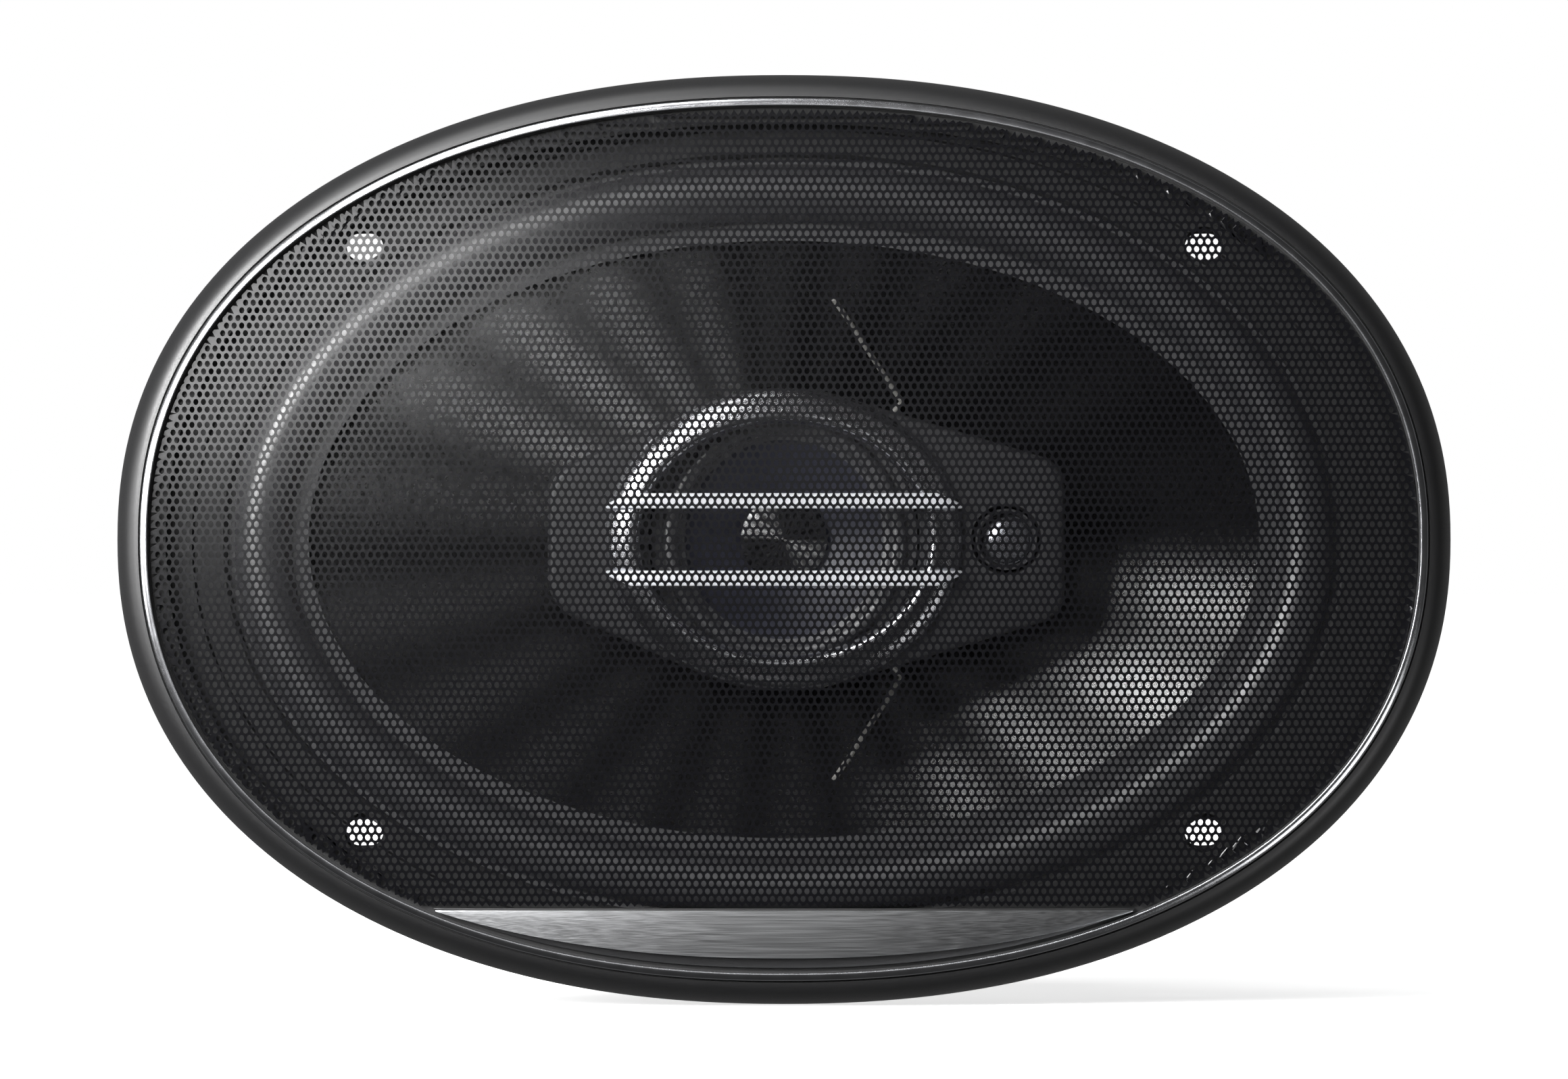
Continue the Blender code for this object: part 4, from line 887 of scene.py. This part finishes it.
class SPEAKER_OT_basket(bpy.types.Operator):
    """Model the pressed basket: flange, band, eight spokes, spider ledge and base"""
    bl_idname = "speaker.basket"
    bl_label = "Basket"

    def execute(self, context):
        steps = 48
        loops = [rim_loop(inset, -1.0, steps) for inset in (3.6, 3.9)]
        loops += [oval_loop(*station, steps) for station in BASKET_STATIONS]
        basket = sweep("pressed_basket", loops)
        select_faces(basket, self.windows(basket, steps))
        bpy.ops.mesh.delete(type="FACE")
        bpy.ops.object.mode_set(mode="OBJECT")
        thicken(basket, 1.0)
        work(basket, "SUBSURF", levels=2, render_levels=2)
        for x, z in SCREWS:
            carve(basket, self.slot(x, z))
        profile = ((0, -4), (1.7, -4), (1.7, 3), (0, 3))
        for angle in PEG_ANGLES:
            centre = rim_point(PEG_INSET, radians(angle))
            carve(basket, turn("peg_hole", profile, centre, False, 20))
        dress(basket, "chassis", surface("black_electrocoat"), ["basket"], 40)
        return {"FINISHED"}

    def windows(self, basket, steps):
        """Which faces lie in the eight windows: four segments out of each six, on the slope."""
        wanted = []
        for face in basket.data.polygons:
            x, y, z = face.center / MM
            angle = np.arctan2(z / 55.0, x / 75.0)
            segment = int(np.floor(angle / tau * steps)) % (steps // 8)
            wanted.append(WINDOWS_FROM_Y < y < WINDOWS_TO_Y and 1 <= segment <= 4)
        return wanted

    def slot(self, x, z):
        """A cutter for one screw slot, a straight slot with round ends."""
        loops = []
        for y in (-4.0, 4.0):
            ring = oval_loop(2.4, 2.4, 2.0, y, 32)
            loops.append([(x + px + copysign(0.9, px), y, z + pz) for px, _, pz in ring])
        return sweep("screw_slot", loops, caps=True)


class SPEAKER_OT_motor(bpy.types.Operator):
    """Turn the magnet, its plates, the rivets and the screw in the back"""
    bl_idname = "speaker.motor"
    bl_label = "Motor"

    def execute(self, context):
        zinc = surface("zinc_plated_steel")
        plate = turn("front_plate", ((16.6, 52.3), (42.0, 52.3), (42.0, 57.3), (16.6, 57.3)))
        dress(soften(plate, 0.5), "chassis", zinc, ["top_plate"])
        magnet = turn("ring_magnet", ((20.0, 57.6), (45.0, 57.6), (45.0, 72.6), (20.0, 72.6)))
        dress(soften(magnet, 1.1, 3), "chassis", surface("sintered_ferrite"),
              ["ferrite_magnet"])
        profile = ((3.2, 52.5), (13.2, 52.5), (13.6, 52.9), (13.6, 72.9), (39.4, 72.9),
                   (40.0, 73.5), (40.0, 76.6), (39.5, 77.6), (38.6, 78.3), (37.4, 78.6),
                   (17.0, 78.6), (16.2, 78.1), (8.6, 78.1), (7.8, 78.6), (6.6, 78.6),
                   (6.4, 78.4), (6.4, 75.0), (3.2, 75.0))
        back = turn("back_plate", profile)
        dress(back, "chassis", zinc, ["back_plate_and_pole"], 25)
        profile = ((0, 50.7), (2.8, 50.7), (2.8, 50.2), (2.5, 49.7), (1.8, 49.3), (0.9, 49.2),
                   (0, 49.2))
        for number in range(1, 5):
            angle = radians(90 * number - 45)
            centre = (36.0 * cos(angle), 36.0 * sin(angle))
            rivet = turn(f"rivet_{number}", profile, centre, False, 32)
            dress(rivet, "chassis", zinc, [f"plate_rivet_{number}"])
        profile = ((0, 43.0), (2.7, 43.0), (2.7, 75.3), (5.6, 75.3), (5.6, 77.2), (5.2, 77.8),
                   (4.4, 78.1), (2.2, 78.1), (2.0, 76.3), (0, 76.3))
        screw = turn("back_screw", profile, closed=False, steps=48)
        dress(screw, "chassis", zinc, ["post_screw"])
        profile = ((0, 14.6), (9.0, 14.6), (8.4, 16.4), (7.4, 18.6), (6.5, 21.4), (6.2, 24.0),
                   (6.6, 44.0), (7.4, 47.0), (8.6, 48.6), (11.4, 50.0), (11.4, 52.2), (3.1, 52.2),
                   (3.1, 42.0), (0, 42.0))
        post = turn("centre_post", profile, closed=False, steps=64)
        dress(post, "chassis", surface("matt_moulded_abs"), ["bridge_post"])
        return {"FINISHED"}


# ---------------------------------------------------------------- bridge and small drivers
POD_WIDTH, POD_HEIGHT = 32.0, 27.2    # half axes of the bridge's oval body
POD_CORNERS = ((44.4, 9.2, 6.0), (-34.4, 6.8, 8.0))    # x, z and radius of the ears' corners
TWEETER_CENTRE = (39.9, 0.0)


def pod_loop(inset, y, steps=160):
    """The bridge's outline: a tight band round its oval body and its four rounded corners."""
    loop = []
    for k in range(steps):
        angle = tau * (k + 0.5) / steps
        nx, nz = cos(angle), sin(angle)
        reach = hypot(POD_WIDTH * nx, POD_HEIGHT * nz)
        choices = [(POD_WIDTH ** 2 * nx / reach, POD_HEIGHT ** 2 * nz / reach)]
        for x, z, radius in POD_CORNERS:
            choices.append((x + radius * nx, copysign(z, nz) + radius * nz))
        x, z = max(choices, key=lambda point: point[0] * nx + point[1] * nz)
        loop.append((x - inset * nx, y, z - inset * nz))
    return loop


class SPEAKER_OT_pod(bpy.types.Operator):
    """Model the moulded bridge with its bowl, the bright bezel and the guard bars"""
    bl_idname = "speaker.pod"
    bl_label = "Bridge, Bezel and Bars"

    def execute(self, context):
        front = low_y("bridge_pod")
        loops = [pod_loop(inset, y) for inset, y in (
            (1.2, front), (0.7, front + 0.15), (0.25, front + 0.5), (0.0, front + 1.1), (0.5, -4.0),
            (1.4, -2.4), (2.4, -1.4), (3.2, -0.8), (3.8, -0.6))]
        pod = sweep("bridge_moulding", loops, caps=True)
        profile = ((0, -3.0), (25.0, -3.0), (25.0, 3.0), (24.2, 6.4), (22.8, 9.2), (20.6, 11.8),
                   (18.0, 13.5), (16.6, 14.1), (15.4, 14.3), (0, 14.3))
        carve(pod, turn("bowl", profile, closed=False, steps=112), "UNION")
        profile = ((0, -14), (24.4, -14), (24.4, -4.2), (20.9, -4.2), (20.9, 2.0), (16.5, 11.3),
                   (0, 11.3))
        carve(pod, turn("midrange_well", profile, closed=False, steps=112))
        profile = ((0, -14), (6.9, -14), (6.3, front + 0.5), (5.9, front + 1.2), (5.9, -2.6),
                   (0, -2.6))
        carve(pod, turn("tweeter_well", profile, TWEETER_CENTRE, False, 64))
        dress(pod, "chassis", surface("matt_moulded_abs"), ["bridge_pod"])
        bright, paint = surface("bright_plating"), surface("silver_paint")
        profile = ((0.3, -9.9), (0.05, -10.3), (0.0, -10.7), (0.5, -11.4), (1.3, -12.1),
                   (2.2, -12.6), (3.2, -13.0), (4.2, -13.22), (5.0, -13.3), (5.4, -13.2),
                   (5.8, -12.8), (6.05, -12.2), (6.4, -9.9))
        loops = [oval_loop(32.0 - inset, 27.1 - inset, 2.0, y, 192) for inset, y in profile]
        bezel = sweep("bezel", loops, closed=True)
        dress(bezel, "chassis", bright, ["midrange_bezel"], 50)
        right = ((14.0, -13.6, 1.0), (27.4, -13.6, 1.0), (30.3, -12.7, 0.4), (31.9, -11.3, 0.0))
        stations = [(-x, back, width) for x, back, width in reversed(right)] + list(right)
        for name, side in (("upper", 1), ("lower", -1)):
            sections = []
            for x, back, width in stations:
                outer = 6.3 + 2.0 * width
                sections.append([(x, back, side * 5.55), (x, back - 1.3, side * 5.55),
                                 (x, back - 1.3, side * outer), (x, back, side * outer)])
            bar = soften(sweep(f"bar_{name}", sections, caps=True), 0.25, 3, 50)
            dress(bar, "chassis", paint, [f"guard_bar_{name}"])
        return {"FINISHED"}


class SPEAKER_OT_midrange(bpy.types.Operator):
    """Turn the midrange's roll, cone and dust cap"""
    bl_idname = "speaker.midrange"
    bl_label = "Midrange"

    def execute(self, context):
        lip = -6.1
        loops = [circle_loop(23.9, lip), circle_loop(22.5, lip)]
        for step in range(13):
            angle = pi * step / 12
            loops.append(circle_loop(22.2 - 3.3 * (1 - cos(angle)) / 2, lip - 1.8 * sin(angle)))
        loops.append(circle_loop(17.9, lip + 0.25))
        roll = thicken(sweep("midrange_roll", loops), 0.5)
        dress(roll, None, surface("surround_rubber"), ["midrange_surround"], 60)
        follow_inwards(roll)
        loops = [circle_loop(18.7, -4.9), circle_loop(17.6, -4.75)]
        for step in range(9):
            loops.append(circle_loop(17.3 - 10.3 * step / 8, -4.6 + 5.2 * (step / 8) ** 0.9))
        cone = thicken(sweep("midrange_paper_cone", loops), 0.5)
        dress(cone, "midrange", surface("coated_paper"), ["midrange_cone"], 40)
        quarter = [radians(7.5 * k) for k in range(12)]
        profile = [(7.8 * cos(angle), -0.6 - 2.8 * sin(angle)) for angle in quarter]
        profile += [(0, -3.4), (0, -3.0), (7.2, -0.36), (7.7, -0.36)]
        cap = turn("dust_cap", profile, closed=False)
        dress(cap, "midrange", cone_film(), ["midrange_dust_cap"], 60)
        return {"FINISHED"}


class SPEAKER_OT_tweeter(bpy.types.Operator):
    """Turn the tweeter's housing and its dome"""
    bl_idname = "speaker.tweeter"
    bl_label = "Tweeter"

    def execute(self, context):
        profile = ((0, -2.9), (5.6, -2.9), (5.6, -9.3), (5.45, -9.6), (5.2, -9.6), (5.0, -9.3),
                   (4.75, -7.9), (4.75, -6.5), (4.3, -6.5), (4.3, -3.7), (0, -3.7))
        housing = turn("tweeter_ring", profile, TWEETER_CENTRE, False, 64)
        dress(housing, "chassis", surface("matt_moulded_abs"), ["tweeter_housing"])
        profile = [(4.55, -6.75), (4.55, -7.0), (4.3, -7.05)]
        for angle in [radians(9 * k) for k in range(1, 10)]:
            profile.append((4.3 * cos(angle), -7.05 - 1.85 * sin(angle)))
        profile += [(0, -8.9), (0, -8.6), (3.6, -7.2), (4.2, -6.75)]
        dome = turn("tweeter_cap", profile, TWEETER_CENTRE, False, 64)
        dress(dome, "tweeter", surface("tweeter_film"), ["tweeter_dome"], 60)
        return {"FINISHED"}


# ---------------------------------------------------------------- small parts and the rest
class SPEAKER_OT_terminals(bpy.types.Operator):
    """Give the terminals and the inner parts, shown as the frame has them, their finishes"""
    bl_idname = "speaker.terminals"
    bl_label = "Terminals and Inner Parts"

    def execute(self, context):
        board, brass = surface("phenolic_board"), surface("tinned_brass")
        zinc = surface("zinc_plated_steel")
        finishes = {
            "terminal_board": board, "terminal_positive": brass, "terminal_negative": brass,
            "crossover_capacitor": surface("shrink_sleeve"),
            "midrange_frame": surface("black_electrocoat"), "midrange_top_plate": zinc,
            "midrange_magnet": surface("sintered_ferrite"), "midrange_yoke": zinc,
            "midrange_coil": wound_copper(), "tweeter_coil": wound_copper(), "tweeter_magnet": zinc,
        }
        for name, finish in finishes.items():
            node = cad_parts[name]
            node.data.materials.clear()
            node.data.materials.append(finish)
        return {"FINISHED"}


PIXELS_PER_MM = 8.225
LIGHT_DISTANCE = 1.3
# Name, azimuth from +X towards +Z and angle from straight in front in degrees, size across and
# along that angle in metres, and brightness as a mirror shows it
SOFTBOXES = (
    ("key_softbox", 154, 47, 0.56, 0.50, 52.0),
    ("second_softbox", 117, 50, 0.36, 0.50, 15.0),
    ("left_softbox", 178, 76, 0.45, 0.50, 7.0),
    ("top_softbox", 108, 78, 0.60, 0.45, 7.0),
    ("graze_softbox", 143, 26, 0.56, 0.22, 16.0),
    ("low_softbox", -38, 62, 0.60, 0.50, 3.0),
    ("front_fill", 100, 7, 0.34, 0.20, 0.7))


class SPEAKER_OT_stage(bpy.types.Operator):
    """Set the floor, the soft lights, the white background and the camera"""
    bl_idname = "speaker.stage"
    bl_label = "Stage"

    def execute(self, context):
        self.floor()
        self.background()
        for softbox in SOFTBOXES:
            self.softbox(context, *softbox)
        self.camera(context)
        context.scene.view_settings.view_transform = "Standard"
        return {"FINISHED"}

    def softbox(self, context, name, azimuth, polar, across, along, radiance):
        """An area light that faces the speaker, set out by a row of SOFTBOXES."""
        turn_by, lean = radians(azimuth), radians(polar)
        away = Vector((sin(lean) * cos(turn_by), -cos(lean), sin(lean) * sin(turn_by)))
        upright = (Vector((0, -1, 0)) - away * away.dot(Vector((0, -1, 0)))).normalized()
        light = bpy.data.lights.new(name, "AREA")
        light.shape = "RECTANGLE"
        light.size, light.size_y = across, along
        light.energy = radiance * pi * across * along
        lamp = bpy.data.objects.new(name, light)
        lamp.matrix_world = Matrix.Translation(away * LIGHT_DISTANCE) @ Matrix(
            (upright.cross(away), upright, away)).transposed().to_4x4()
        context.scene.collection.objects.link(lamp)

    def seen(self, tree):
        """1 for a ray from the camera, also through something clear, and 0 for any other."""
        ray = add_node(tree, "ShaderNodeLightPath").node.outputs
        return compute(tree, "MAXIMUM", ray["Is Camera Ray"], ray["Is Transmission Ray"])

    def floor(self):
        """A pale plane that is nearly white of itself to the camera, a little less so close by."""
        bpy.ops.object.select_all(action="DESELECT")
        level = CAD_BOX[0].z - 0.0002
        bpy.ops.mesh.primitive_plane_add(size=30, location=(0, 0, level))
        floor = bpy.context.object
        floor.name = "floor"
        material, tree, shader, place = new_finish("pale_floor")
        fill(tree, shader, {"Base Color": (*srgb("#f4f4f4"), 1), "Roughness": 0.9})
        reach = add_node(tree, "ShaderNodeVectorMath", {0: place}, "Value", operation="LENGTH")
        fade = draw_out(tree, reach, 0.7, 1.0, 0.15, 0.9)
        power = compute(tree, "MULTIPLY", self.seen(tree), fade)
        glow = add_node(tree, "ShaderNodeEmission", {"Color": (1, 1, 1, 1), "Strength": power})
        both = add_node(tree, "ShaderNodeAddShader", {0: shader.outputs[0], 1: glow})
        fill(tree, tree.nodes["Material Output"], {"Surface": both})
        floor.data.materials.append(material)
        floor.visible_glossy = False      # dark surroundings give the plated line its contrast
        floor.visible_shadow = False      # the low softbox shines through it

    def background(self):
        """White to the camera, dim to any other ray and a little less dim behind the speaker."""
        world = bpy.data.worlds.new("studio")
        world.use_nodes = True
        bpy.context.scene.world = world
        tree = world.node_tree
        direction = add_node(tree, "ShaderNodeTexCoord", output="Generated")
        backwards = add_node(tree, "ShaderNodeSeparateXYZ", {"Vector": direction}, "Y")
        dim = draw_out(tree, backwards, 0.02, 0.22, -0.05, 0.5)
        fill(tree, tree.nodes["Background"], {
            "Color": (1, 1, 1, 1), "Strength": compute(tree, "MAXIMUM", dim, self.seen(tree))})

    def camera(self, context):
        """Square on, from far off, with the outline's middle in the middle of the picture."""
        distance = 2.0
        picture_width = 2320 / PIXELS_PER_MM * MM
        camera = bpy.data.cameras.new("camera")
        camera.sensor_width = 36.0
        camera.lens = camera.sensor_width * distance / picture_width
        camera.clip_end = 50.0
        eye = bpy.data.objects.new("camera", camera)
        eye.location = (0.0, -distance - 0.004, 0.0)
        eye.rotation_euler = (radians(90), 0, 0)
        context.scene.collection.objects.link(eye)
        context.scene.camera = eye


OPERATORS = (
    SPEAKER_OT_stage, SPEAKER_OT_trim_ring, SPEAKER_OT_inlay_ring, SPEAKER_OT_grille_sheet,
    SPEAKER_OT_badge_plate, SPEAKER_OT_gasket, SPEAKER_OT_surround, SPEAKER_OT_cone,
    SPEAKER_OT_voice_coil, SPEAKER_OT_basket, SPEAKER_OT_motor, SPEAKER_OT_pod,
    SPEAKER_OT_midrange, SPEAKER_OT_tweeter, SPEAKER_OT_terminals,
)


class SPEAKER_PT_panel(bpy.types.Panel):
    """The speaker's sizes, colours and pieces"""
    bl_label = "Speaker"
    bl_idname = "SPEAKER_PT_panel"
    bl_space_type = "VIEW_3D"
    bl_region_type = "UI"
    bl_category = "Speaker"

    def draw(self, context):
        for group in (context.scene.speaker_sizes, context.scene.speaker_colours):
            box = self.layout.box()
            for name in group.bl_rna.properties.keys():
                if name not in ("rna_type", "name"):
                    box.prop(group, name)
        for operator in OPERATORS:
            self.layout.operator(operator.bl_idname)


def register():
    for item in (SpeakerSizes, SpeakerColours, *OPERATORS, SPEAKER_PT_panel):
        bpy.utils.register_class(item)
    bpy.types.Scene.speaker_sizes = PointerProperty(type=SpeakerSizes)
    bpy.types.Scene.speaker_colours = PointerProperty(type=SpeakerColours)


def unregister():
    del bpy.types.Scene.speaker_colours
    del bpy.types.Scene.speaker_sizes
    for item in reversed((SpeakerSizes, SpeakerColours, *OPERATORS, SPEAKER_PT_panel)):
        bpy.utils.unregister_class(item)


def main():
    register()
    bpy.ops.speaker.stage()
    bpy.ops.speaker.trim_ring()
    bpy.ops.speaker.inlay_ring()
    bpy.ops.speaker.grille_sheet()
    bpy.ops.speaker.badge_plate()
    bpy.ops.speaker.gasket()
    bpy.ops.speaker.surround()
    bpy.ops.speaker.cone()
    bpy.ops.speaker.voice_coil()
    bpy.ops.speaker.basket()
    bpy.ops.speaker.motor()
    bpy.ops.speaker.pod()
    bpy.ops.speaker.midrange()
    bpy.ops.speaker.tweeter()
    bpy.ops.speaker.terminals()


if __name__ == "__main__":
    main()
